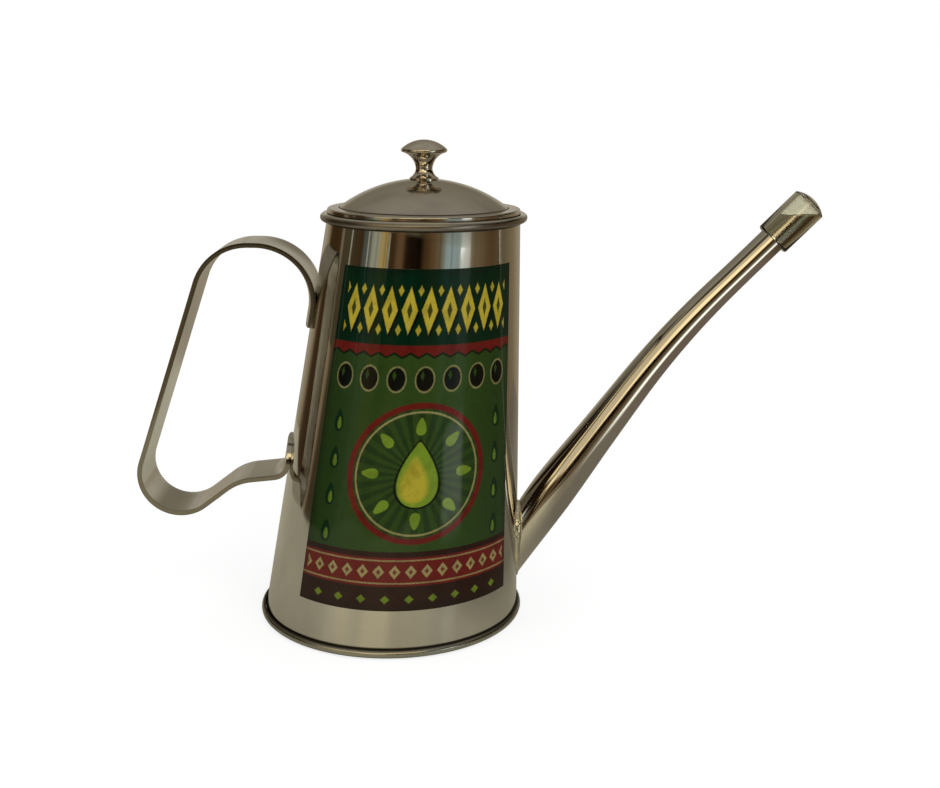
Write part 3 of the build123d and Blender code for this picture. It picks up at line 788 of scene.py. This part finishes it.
def spoutPoint(angle, distance, offset=0.0):
    centre, heading = spoutState(distance)
    radius = spoutTaper(distance) + offset
    return centre + headingVector(heading + 90) * radius * cos(angle) + Vector((0, radius * sin(angle), 0))


def insideWall(point, offset=0.0):
    reach = Vector((point.x - wallCentre(point.z), point.y)).length
    return reach < wallRadius(point.z) + offset


def seamDistance(angle, offset=0.0):
    # where a line along the spout's surface leaves the wall, found by halving
    low, high = -spout["insideLength"], spout["seamEnd"]
    for _ in range(30):
        middle = (low + high) / 2
        if insideWall(spoutPoint(angle, middle, offset)):
            low = middle
        else:
            high = middle
    return low


def mouthDistance(angle, offset):
    # where a line along the spout's surface reaches the level cut of the mouth, found by halving
    mouth, _ = spoutState(spoutLength())
    low, high = spout["seamEnd"], spoutLength() + 2 * spout["tipRadius"]
    for _ in range(30):
        middle = (low + high) / 2
        if spoutPoint(angle, middle, offset).z < mouth.z:
            low = middle
        else:
            high = middle
    return low


def spoutLine(angle):
    # one closed line of the sheet's section: up the outside from the wall to the mouth, and down the bore
    points = []
    lastRing = spoutLength() - 2 * spout["tipRadius"]
    for offset in (0, -can["sheet"]):
        seam, mouth = seamDistance(angle, offset), mouthDistance(angle, offset)
        stretches = ((seam, spout["seamEnd"], spout["seamRings"]),
                     (spout["seamEnd"], lastRing, spout["rings"]), (lastRing, mouth, spout["mouthRings"]))
        distances = [seam] + [low + (high - low) * row / rows for low, high, rows in stretches
                              for row in range(1, rows + 1)]
        skin = [spoutPoint(angle, distance, offset) for distance in distances]
        points += skin if offset == 0 else skin[::-1]
    return points


def makeSpout():
    bm = bmesh.new()
    lines = []
    for index in range(spout["segments"]):
        angle = fullTurn * index / spout["segments"]
        lines.append([bm.verts.new(point) for point in spoutLine(angle)])
    for index, line in enumerate(lines):
        beside = lines[index - 1]
        for row in range(len(line)):
            bm.faces.new((line[row - 1], line[row], beside[row], beside[row - 1]))
    finishPiece(bm, "spoutPipe", "can", spoutSteel, ["spout_tube"])


weld = {"radius": 1.7, "sides": 16, "beads": 240, "ripple": 0.2, "ripplePitch": 0.9,
        "footThin": 0.75, "pool": 0.8, "poolRise": 0.78, "poolSpan": 0.17}


def makeWeld():
    # a round bead run along the seam between pipe and wall
    bm = bmesh.new()
    count = weld["beads"]
    seam = []
    for index in range(count):
        angle = fullTurn * index / count
        seam.append(spoutPoint(angle, seamDistance(angle)))
    low, high = min(point.z for point in seam), max(point.z for point in seam)
    places = []
    for index in range(count):
        rise = (seam[index].z - low) / (high - low)
        forward = (seam[(index + 1) % count] - seam[index - 1]).normalized()
        outward = forward.cross(Vector((1, 0, 0))).normalized()
        up = forward.cross(outward).normalized()
        size = weld["radius"] * (1 - weld["footThin"] * (1 - rise) ** 3)
        size += weld["pool"] * exp(-((rise - weld["poolRise"]) / weld["poolSpan"]) ** 2)
        size += weld["ripple"] * noise.noise(seam[index] * weld["ripplePitch"])
        places.append(Matrix.Translation(seam[index]) @ Matrix((outward, up, forward)).transposed().to_4x4()
                      @ Matrix.Diagonal((size, size, 1, 1)))
    bmesh.ops.create_circle(bm, cap_ends=False, segments=weld["sides"], radius=1, matrix=places[0])
    edges = bm.edges[:]
    for index in range(1, count + 1):
        made = bmesh.ops.extrude_edge_only(bm, edges=edges)["geom"]
        edges = onlyOf(made, bmesh.types.BMEdge)
        bmesh.ops.transform(bm, matrix=places[index % count] @ places[index - 1].inverted(),
                            verts=onlyOf(made, bmesh.types.BMVert))
    finishPiece(bm, "spoutWeldBead", "can", weldMetal, ["spout_weld"])


# Label: a printed film wrapped on the front of the wall

label = {"film": 0.12, "glue": 0.1, "bottom": 18.2, "top": 145.0, "middle": -82.25, "halfSpan": 52.25,
         "columns": 128, "rows": 24}


def makeLabel():
    bm = bmesh.new()
    inner, outer = label["glue"], label["glue"] + label["film"]
    rows = label["rows"]
    points = []
    for offset, order in ((outer, range(rows + 1)), (inner, range(rows, -1, -1))):
        for row in order:
            z = label["bottom"] + (label["top"] - label["bottom"]) * row / rows
            points.append((wallRadius(z) + offset, z))
    verts = [bm.verts.new((radius, 0, z)) for radius, z in points]
    bm.faces.new(verts)
    start = radians(label["middle"] - label["halfSpan"])
    bmesh.ops.rotate(bm, verts=verts, cent=(0, 0, 0), matrix=Matrix.Rotation(start, 3, 'Z'))
    bmesh.ops.spin(bm, geom=bm.verts[:] + bm.edges[:] + bm.faces[:], cent=(0, 0, 0), axis=(0, 0, 1),
                   dvec=(0, 0, 0), angle=radians(2 * label["halfSpan"]), steps=label["columns"],
                   use_merge=False, use_duplicate=False)
    layout = bm.loops.layers.uv.new("labelSheet")
    for face in bm.faces:
        for loop in face.loops:
            azimuth = degrees(atan2(loop.vert.co.y, loop.vert.co.x)) - label["middle"]
            across = azimuth / (2 * label["halfSpan"]) + 0.5
            loop[layout].uv = (across, (loop.vert.co.z - label["bottom"]) / (label["top"] - label["bottom"]))
    leanOver(bm)
    finishPiece(bm, "labelSheet", "can", labelPrint, ["label"])


# Lid: domed top with a rounded step ring, and the plain skirt that holds it in the mouth

lid = {"seat": 161.549, "domeRise": 10.8, "grooveRise": 2.05, "ringWidth": 4.6, "ringHeight": 1.9,
       "ringCorner": 0.8, "cornerAngles": (92, 4), "cornerRows": 14, "shoulder": 0.8, "grooveDrop": 0.1,
       "hem": 0.3, "land": 0.58, "skirtRadius": 36.3, "skirtSheet": 0.45, "skirtFoot": 152.0,
       "skirtRounding": 0.08, "flange": 0.2, "gap": 0.04, "bore": 2.05, "domeRows": 24, "steps": 192,
       "sharpAngle": 22}


def domeHeight(radius, offset=0.0):
    groove = can["mouthRadius"] - lid["ringWidth"]
    sphere = (groove ** 2 + lid["domeRise"] ** 2) / (2 * lid["domeRise"])
    top = lid["seat"] + lid["grooveRise"] + lid["domeRise"]
    return top - sphere + sqrt((sphere - offset) ** 2 - radius ** 2)


def ringArc(offset):
    # the step ring's section: groove, round corner, upright flank
    groove = can["mouthRadius"] - lid["ringWidth"]
    inner = (groove, domeHeight(groove, offset) - lid["grooveDrop"])
    corner = (can["mouthRadius"] - lid["ringCorner"], lid["seat"] + lid["ringHeight"] - lid["ringCorner"])
    cornerArc = arcPoints(corner, lid["ringCorner"] - offset, *lid["cornerAngles"], lid["cornerRows"])
    return [inner] + cornerArc + [(can["mouthRadius"] - offset, lid["seat"] + lid["land"])]


def makeLid():
    shoulder = can["mouthRadius"] - lid["ringWidth"] - lid["shoulder"]
    rows = lid["domeRows"]
    radii = [lid["bore"] + (shoulder - lid["bore"]) * row / rows for row in range(rows + 1)]
    hemInner = lid["skirtRadius"] + lid["gap"]
    hemTop = lid["seat"] + lid["hem"]
    points = [(radius, domeHeight(radius)) for radius in radii]
    points += ringArc(0)
    points += [(can["mouthRadius"], lid["seat"]), (hemInner, lid["seat"]), (hemInner, hemTop),
               (can["mouthRadius"] - can["sheet"], hemTop)]
    points += ringArc(can["sheet"])[::-1]
    points += [(radius, domeHeight(radius, can["sheet"])) for radius in radii[::-1]]
    bm = spinSection(points, lid["steps"], can["lean"])
    finishPiece(bm, "lidTop", "lid", lidSteel, ["lid_dome"], lid["sharpAngle"])


def makeLidSkirt():
    top = lid["seat"] + lid["hem"] + lid["gap"]
    inner = lid["skirtRadius"] - lid["skirtSheet"]
    reach = can["mouthRadius"] - can["sheet"] - lid["gap"]
    points = [(inner, lid["skirtFoot"]), (lid["skirtRadius"], lid["skirtFoot"]), (lid["skirtRadius"], top),
              (reach, top), (reach, top + lid["flange"]), (inner, top + lid["flange"])]
    bm = spinSection(points, lid["steps"], can["lean"])
    softenEdges(bm, lid["skirtRounding"])
    finishPiece(bm, "lidInnerSkirt", "lid", lidSteel, ["lid_skirt"])


# Knob: turned, held from below by a washer and a slotted screw

knob = {"height": 14.6, "headRadius": 8.85, "edgeHeight": 10.65, "edgeRounding": 0.85, "edgeUnder": -60.0,
        "waistRadius": 3.2, "waistHeight": 3.75, "footRadius": 5.6, "footEdge": 0.25, "upperCove": 0.665,
        "lowerCove": 0.64, "footChamfer": 0.05, "crownRows": 20, "edgeRows": 12, "coveRows": (20, 14),
        "steps": 128}
bolt = {"radius": 2.0, "reach": 8.0, "tipGap": 0.05, "headRadius": 3.5, "headHeight": 2.2, "slotWidth": 1.0,
        "slotDepth": 1.1, "washerRadius": 5.5, "washer": 0.8, "washerRounding": 0.12, "rounding": 0.7,
        "roundingRows": 6, "steps": 64}
lidTop = lid["seat"] + lid["grooveRise"] + lid["domeRise"]
washerTop = domeHeight(bolt["washerRadius"], can["sheet"])
washerFoot = washerTop - bolt["washer"]


def coveBetween(outer, inner, share, rows):
    # a hollow curve between two points of the section, through a third that the share sets
    middle = (inner[0] + (outer[0] - inner[0]) * (1 - share), inner[1] + (outer[1] - inner[1]) * share)
    return arcThrough(outer, middle, inner, rows)


def makeKnob():
    top = lidTop + knob["height"]
    waist = (knob["waistRadius"], lidTop + knob["waistHeight"])
    footTop = (knob["footRadius"], lidTop + knob["footEdge"])
    edge = (knob["headRadius"] - knob["edgeRounding"], lidTop + knob["edgeHeight"])
    fall = top - edge[1]
    crown = (edge[0] ** 2 + fall ** 2 - knob["edgeRounding"] ** 2) / (2 * (fall - knob["edgeRounding"]))
    upper = degrees(atan2(crown - fall, edge[0]))
    points = arcPoints((0, top - crown), crown, 90, upper, knob["crownRows"])
    points += arcPoints(edge, knob["edgeRounding"], upper, knob["edgeUnder"], knob["edgeRows"])[1:]
    upperRows, lowerRows = knob["coveRows"]
    points += coveBetween(points[-1], waist, knob["upperCove"], upperRows)[1:]
    points += coveBetween(footTop, waist, knob["lowerCove"], lowerRows)[-2::-1]
    boreTop = lidTop + bolt["reach"]
    points += [(knob["footRadius"] - knob["footChamfer"], domeHeight(knob["footRadius"])),
               (lid["bore"], domeHeight(lid["bore"])), (lid["bore"], boreTop), (0, boreTop)]
    bm = spinSection(points, knob["steps"], can["lean"], closed=False)
    finishPiece(bm, "turnedKnob", "lid", knobNickel, ["knob"])


def makeWasher():
    inner, outer = lid["bore"], bolt["washerRadius"]
    points = [(inner, washerFoot), (outer, washerFoot), (outer, washerTop), (inner, washerTop)]
    bm = spinSection(points, bolt["steps"], can["lean"])
    softenEdges(bm, bolt["washerRounding"])
    finishPiece(bm, "knobWasher", "lid", boltSteel, ["knob_washer"])


def makeBolt():
    tip = lidTop + bolt["reach"] - bolt["tipGap"]
    headFoot = washerFoot - bolt["headHeight"]
    points = [(0, tip), (bolt["radius"], tip), (bolt["radius"], washerFoot),
              (bolt["headRadius"], washerFoot)]
    points += arcPoints((bolt["headRadius"] - bolt["rounding"], headFoot + bolt["rounding"]),
                        bolt["rounding"], 0, -90, bolt["roundingRows"])
    points += [(0, headFoot)]
    bm = spinSection(points, bolt["steps"], can["lean"], closed=False)
    half = bolt["slotWidth"] / 2
    for side in (-half, half):  # the slot's edges are cut first, then its floor is pushed in
        bmesh.ops.bisect_plane(bm, geom=bm.verts[:] + bm.edges[:] + bm.faces[:], dist=0.0001,
                               plane_co=(0, side, 0), plane_no=(0, 1, 0))
    flat = [face for face in bm.faces if abs(face.calc_center_median().y) < half
            and face.calc_center_median().z < headFoot + bolt["rounding"]]
    made = bmesh.ops.extrude_face_region(bm, geom=withEdges(flat))["geom"]
    for vert in onlyOf(made, bmesh.types.BMVert):
        vert.co.z = headFoot + bolt["slotDepth"]
    finishPiece(bm, "knobBolt", "lid", boltSteel, ["knob_screw"])


# Clear cap pushed on the spout's tip

tipCap = {"wall": 1.8, "fit": 0.05, "grip": 13.8, "endGap": 0.3, "crownWall": 2.55, "crownRise": 2.3,
          "lipRounding": 0.9, "lipRows": 8, "crownRows": 16, "edgeRounding": 0.25, "steps": 96}


def makeCap():
    mouth, heading = spoutState(spoutLength())
    bore = spout["tipRadius"] + tipCap["fit"]
    outer = bore + tipCap["wall"]
    boreEnd = spout["tipRadius"] / tan(radians(heading)) + tipCap["endGap"]
    crown = boreEnd + tipCap["crownWall"]
    shoulder = crown - tipCap["crownRise"]
    sphere = (outer ** 2 + tipCap["crownRise"] ** 2) / (2 * tipCap["crownRise"])
    lip = tipCap["lipRounding"]
    foot = -tipCap["grip"]
    points = [(0, boreEnd), (bore, boreEnd), (bore, foot)]
    points += arcPoints((outer - lip, foot + lip), lip, -90, 0, tipCap["lipRows"])
    shoulderAngle = degrees(asin((shoulder - crown + sphere) / sphere))
    points += arcPoints((0, crown - sphere), sphere, shoulderAngle, 90, tipCap["crownRows"])
    bm = spinSection(points, tipCap["steps"], closed=False)
    softenEdges(bm, tipCap["edgeRounding"], angle=50)
    along = headingVector(heading)
    across = Vector((0, 1, 0))
    turned = Matrix((across, along.cross(across), along)).transposed().to_4x4()
    bmesh.ops.transform(bm, matrix=Matrix.Translation(mouth) @ turned, verts=bm.verts)
    finishPiece(bm, "clearTipCap", "cap", clearPlastic, ["spout_cap"])


makeBody()
makeBase()
makeHandle()
makeSpout()
makeWeld()
makeLabel()
makeLid()
makeLidSkirt()
makeKnob()
makeWasher()
makeBolt()
makeCap()
print("pieces ready")

# Studio: a white sweep, soft lamps, and cards that only reflections show

studio = {"floorReach": 6.0, "floorDrop": 0.0004, "worldLight": 0.72, "whiteGlow": 0.78,
          "tableReach": 0.32, "tableDrop": 0.0002, "roomRadius": 5.6, "roomCentre": (0.02, 0.0, 0.13)}
tone = {"black": (0.005, 0.003, 0.0015), "shadow": (0.017, 0.0085, 0.004), "umber": (0.055, 0.029, 0.01),
        "bark": (0.07, 0.055, 0.03), "timber": (0.137, 0.078, 0.035), "mud": (0.18, 0.15, 0.09),
        "wall": (0.23, 0.185, 0.11), "sand": (0.37, 0.3, 0.195), "plaster": (0.45, 0.415, 0.335),
        "slate": (0.1, 0.115, 0.1), "haze": (0.355, 0.36, 0.27), "mist": (0.33, 0.42, 0.42),
        "gold": (0.455, 0.33, 0.12), "daylight": (1.5, 1.56, 1.48), "eaves": (0.23, 0.205, 0.15),
        "ceiling": (0.345, 0.32, 0.265), "lampGold": (0.78, 0.66, 0.43), "sun": (1.6, 1.32, 0.78),
        "board": (0.52, 0.49, 0.36), "grain": (0.57, 0.54, 0.41), "shade": (0.27, 0.245, 0.185),
        "dusk": (0.225, 0.18, 0.135)}
# what stands round the can, as azimuth from the camera in degrees and tone
roomRound = ((-180, "plaster"), (-150, "plaster"), (-140, "sand"), (-130, "umber"), (-107, "umber"),
             (-103, "sand"), (-99, "sand"), (-96, "bark"), (-90, "bark"), (-72, "umber"), (-67, "slate"),
             (-61, "slate"), (-57, "haze"), (-50, "haze"), (-46, "gold"), (-40, "gold"), (-37, "umber"),
             (-31, "umber"), (-27, "timber"), (-22, "timber"), (-16, "shadow"), (-1, "black"), (3, "umber"),
             (14, "timber"), (23, "mud"), (30, "mist"), (46, "mist"), (61, "wall"), (88, "timber"),
             (104, "mud"), (134, "sand"), (158, "plaster"))
# windows, lamps, posts and dark corners, each laid over those before it:
# azimuth, half width, lowest and highest elevation in degrees, softness at the sides, tone
roomLights = ((-69, 9, 22, 38, 3, "sand"), (-34, 27, 12, 40, 3, "lampGold"), (80, 62, 9, 32, 4, "shadow"),
              (12, 19, 22, 40, 2, "sun"), (-15, 12, 10, 27, 2.5, "sun"), (-44, 4, 12.5, 17.5, 1.5, "sun"),
              (-94, 9, -20, 43, 2.5, "bark"), (-60, 13, 40, 50, 3, "bark"), (-104, 22, 9, 22, 4, "shadow"),
              (-37, 0.8, -20, 9, 0.5, "haze"), (-63, 0.8, -20, 9, 0.5, "plaster"),
              (-88, 0.9, -20, 9, 0.5, "haze"), (52, 6, -20, 13, 1, "daylight"))
# softness of their upper and lower edges in degrees
lightFade = 1.5
# the ceiling begins at the eaves, which stand high in front of the can and low behind it, in degrees
ceiling = {"eaves": 27.0, "eavesSwing": 14.0, "softEdge": 6.0, "fade": (25.0, 62.0),
           "cloudScale": 2.6, "clouds": (0.3, 0.7, 0.8, 1.18)}
# uneven upright stripes in the room's tones
stripes = {"scale": 0.3, "tones": (0.34, 0.66, 0.65, 1.35)}
# a pale board under the can, with places from its middle in metres and azimuths in degrees
board = {"shade": (0.05, 0.1), "dusk": (0.14, 0.24), "edge": 0.02, "farTint": (0.6, 0.56, 0.5),
         "strokeAzimuth": (46.0, 9.0, 2.0), "strokeReach": (0.42, 0.17, 0.04)}
lamps = (("keyLamp", (0.9, -1.3, 1.5), 1.0, 9), ("fillLamp", (-1.4, -0.9, 0.9), 1.2, 4))
lampAim = (0, 0, 0.08)


def lightMask(tree, value, middle, half, soft):
    return spread(tree, gapFrom(tree, value, middle), half - soft, half + soft, 1, 0)


def azimuthOf(tree, x, y):
    return calc(tree, 'MULTIPLY', calc(tree, 'ARCTAN2', x, calc(tree, 'MULTIPLY', y, -1.0)), degrees(1))


def roomTone(tree, azimuth):
    ramp = tree.nodes.new('ShaderNodeValToRGB')
    stops = ramp.color_ramp.elements
    while len(stops) < len(roomRound):
        stops.new(0.5)
    for stop, (degree, name) in zip(stops, roomRound):
        stop.position = degree / 360 + 0.5
        stop.color = (*tone[name], 1)
    tree.links.new(calc(tree, 'ADD', calc(tree, 'DIVIDE', azimuth, 360.0), 0.5), ramp.inputs[0])
    column = addNode(tree, 'ShaderNodeCombineXYZ', None, {'X': azimuth}).outputs[0]
    shade = spread(tree, noiseAt(tree, column, stripes["scale"], 3), *stripes["tones"])
    return dim(tree, ramp.outputs[0], shade)


def hideFromStraight(tree, surface):
    # what is looked at straight through the clear cap is the white sweep, not a card
    rays = addNode(tree, 'ShaderNodeLightPath').outputs
    unmirrored = calc(tree, 'LESS_THAN', rays["Glossy Depth"], 0.5)
    straight = calc(tree, 'MULTIPLY', rays["Is Transmission Ray"], unmirrored)
    clear = addNode(tree, 'ShaderNodeBsdfTransparent').outputs[0]
    mixed = addNode(tree, 'ShaderNodeMixShader', None, {0: straight, 1: surface, 2: clear}).outputs[0]
    tree.links.new(mixed, tree.nodes["Material Output"].inputs["Surface"])


def roomMaterial():
    # a dark room with windows and lamps under a paler ceiling
    material = bpy.data.materials.new("roomCard")
    material.use_nodes = True
    tree = material.node_tree
    tree.nodes.remove(tree.nodes["Principled BSDF"])
    way = addNode(tree, 'ShaderNodeVectorMath', {'operation': 'SUBTRACT'},
                  {0: objectPlace(tree), 1: studio["roomCentre"]}).outputs[0]
    way = addNode(tree, 'ShaderNodeVectorMath', {'operation': 'NORMALIZE'}, {0: way}).outputs[0]
    x, y, z = axesOf(tree, way)
    azimuth = azimuthOf(tree, x, y)
    height = calc(tree, 'MULTIPLY', calc(tree, 'ARCSINE', z), degrees(1))
    cloud = spread(tree, noiseAt(tree, way, ceiling["cloudScale"], 3), *ceiling["clouds"])
    above = blend(tree, spread(tree, height, *ceiling["fade"]), tone["eaves"], tone["ceiling"])
    above = dim(tree, above, cloud)
    front = calc(tree, 'COSINE', calc(tree, 'MULTIPLY', azimuth, radians(1)))
    eaves = calc(tree, 'MULTIPLY_ADD', front, ceiling["eavesSwing"], ceiling["eaves"])
    edge = ceiling["softEdge"]
    room = blend(tree, spread(tree, calc(tree, 'SUBTRACT', height, eaves), -edge, edge, smooth=True),
                 roomTone(tree, azimuth), above)
    for middle, half, low, high, soft, name in roomLights:
        mask = calc(tree, 'MULTIPLY', lightMask(tree, azimuth, middle, half, min(soft, half)),
                    lightMask(tree, height, (low + high) / 2, (high - low) / 2, lightFade))
        room = blend(tree, mask, room, tone[name])
    glow = addNode(tree, 'ShaderNodeEmission', None, {'Color': room, 'Strength': 1.0}).outputs[0]
    hideFromStraight(tree, glow)
    return material


def boardMaterial():
    # wood near the can, in shade on the right, the dim room beyond it, and daylight lying across both
    material, tree, shader = newMaterial("tableBoard", Roughness=0.35, Emission_Strength=1.0)
    place = objectPlace(tree)
    x, y, _ = axesOf(tree, place)
    away = calc(tree, 'MAXIMUM', calc(tree, 'ABSOLUTE', x), calc(tree, 'ABSOLUTE', y))
    beyond = spread(tree, away, studio["tableReach"], studio["tableReach"] + board["edge"])
    wood = blend(tree, noiseAt(tree, place, 14, 5, (1, 6, 1)), tone["board"], tone["grain"])
    for name in ("shade", "dusk"):
        wood = blend(tree, spread(tree, x, *board[name]), wood, tone[name])
    tree.links.new(blend(tree, beyond, wood, (0, 0, 0)), shader.inputs["Base Color"])
    azimuth = azimuthOf(tree, x, y)
    far = blend(tree, 1.0, roomTone(tree, azimuth), board["farTint"], 'MULTIPLY')
    daylight = calc(tree, 'MULTIPLY', lightMask(tree, azimuth, *board["strokeAzimuth"]),
                    lightMask(tree, lengthOf(tree, x, y), *board["strokeReach"]))
    glow = blend(tree, daylight, blend(tree, beyond, (0, 0, 0), far), tone["daylight"])
    tree.links.new(glow, shader.inputs["Emission Color"])
    hideFromStraight(tree, shader.outputs[0])
    return material


def shownRays(tree):
    rays = addNode(tree, 'ShaderNodeLightPath').outputs
    seen = calc(tree, 'MAXIMUM', rays["Is Camera Ray"], rays["Is Glossy Ray"])
    return calc(tree, 'MAXIMUM', seen, rays["Is Transmission Ray"])


def sweepMaterial():
    # the floor glows white to the eye, to metal and through glass, and keeps the can's shadow
    material, tree, shader = newMaterial("whiteSweep", Roughness=0.9)
    shader.inputs["Base Color"].default_value = (0.8, 0.8, 0.8, 1)
    glow = addNode(tree, 'ShaderNodeEmission', None, {'Strength': studio["whiteGlow"]}).outputs[0]
    paper = addNode(tree, 'ShaderNodeBsdfDiffuse', None, {'Color': (0.3, 0.3, 0.3, 1)}).outputs[0]
    seen = addNode(tree, 'ShaderNodeAddShader', None, {0: glow, 1: paper}).outputs[0]
    mixed = addNode(tree, 'ShaderNodeMixShader', None, {0: shownRays(tree), 1: shader.outputs[0], 2: seen})
    tree.links.new(mixed.outputs[0], tree.nodes["Material Output"].inputs["Surface"])
    return material


def stagePiece(name, bm, material, hiddenFrom=()):
    mesh = bpy.data.meshes.new(name)
    bm.to_mesh(mesh)
    bm.free()
    mesh.materials.append(material)
    piece = bpy.data.objects.new(name, mesh)
    bpy.context.collection.objects.link(piece)
    for ray in hiddenFrom:
        setattr(piece, "visible_" + ray, False)


def softLamp(name, place, size, energy):
    data = bpy.data.lights.new(name, 'AREA')
    data.shape = 'DISK'
    data.size = size
    data.energy = energy
    lamp = bpy.data.objects.new(name, data)
    away = (Vector(place) - Vector(lampAim)).to_track_quat('Z', 'Y').to_matrix().to_4x4()
    lamp.matrix_world = Matrix.Translation(place) @ away
    lamp.visible_glossy = False
    bpy.context.collection.objects.link(lamp)


def flatSheet(reach, fall):
    bm = bmesh.new()
    bmesh.ops.create_grid(bm, x_segments=1, y_segments=1, size=reach,
                          matrix=Matrix.Translation((0, 0, -fall)))
    return bm


def makeStudio():
    hidden = ("camera", "diffuse", "shadow")
    stagePiece("whiteSweep", flatSheet(studio["floorReach"], studio["floorDrop"]), sweepMaterial())
    stagePiece("tableCard", flatSheet(studio["roomRadius"], studio["tableDrop"]), boardMaterial(), hidden)
    bm = bmesh.new()
    bmesh.ops.create_uvsphere(bm, u_segments=64, v_segments=32, radius=studio["roomRadius"])
    stagePiece("roomCard", bm, roomMaterial(), hidden)

    world = bpy.data.worlds.new("softWorld")
    world.use_nodes = True
    tree = world.node_tree
    background = tree.nodes["Background"]
    background.inputs["Color"].default_value = (1, 1, 1, 1)
    strength = spread(tree, shownRays(tree), 0, 1, studio["worldLight"], 1.0)
    tree.links.new(strength, background.inputs["Strength"])
    bpy.context.scene.world = world
    for name, place, size, energy in lamps:
        softLamp(name, place, size, energy)


# the photo's viewpoint: place in metres, angles in radians, lens and film in millimetres
photoView = {"place": (0.0219419, -0.4785077, 0.2087329), "yaw": 0.0202, "pitch": 0.2441, "roll": -0.0104,
             "lens": 47.309, "film": 36}


def makeCamera():
    data = bpy.data.cameras.new("photoCamera")
    data.sensor_width = photoView["film"]
    data.lens = photoView["lens"]
    yaw, pitch, roll = photoView["yaw"], photoView["pitch"], photoView["roll"]
    forward = Vector((sin(yaw) * cos(pitch), cos(yaw) * cos(pitch), -sin(pitch)))
    right = Vector((cos(yaw), -sin(yaw), 0))
    down = forward.cross(right)
    rolledRight = cos(roll) * right + sin(roll) * down
    rolledDown = cos(roll) * down - sin(roll) * right
    turned = Matrix((rolledRight, -rolledDown, -forward)).transposed().to_4x4()
    camera = bpy.data.objects.new("photoCamera", data)
    camera.matrix_world = Matrix.Translation(photoView["place"]) @ turned
    bpy.context.collection.objects.link(camera)
    bpy.context.scene.camera = camera


makeStudio()
makeCamera()
bpy.context.scene.view_settings.view_transform = 'Standard'
print("studio and camera ready")
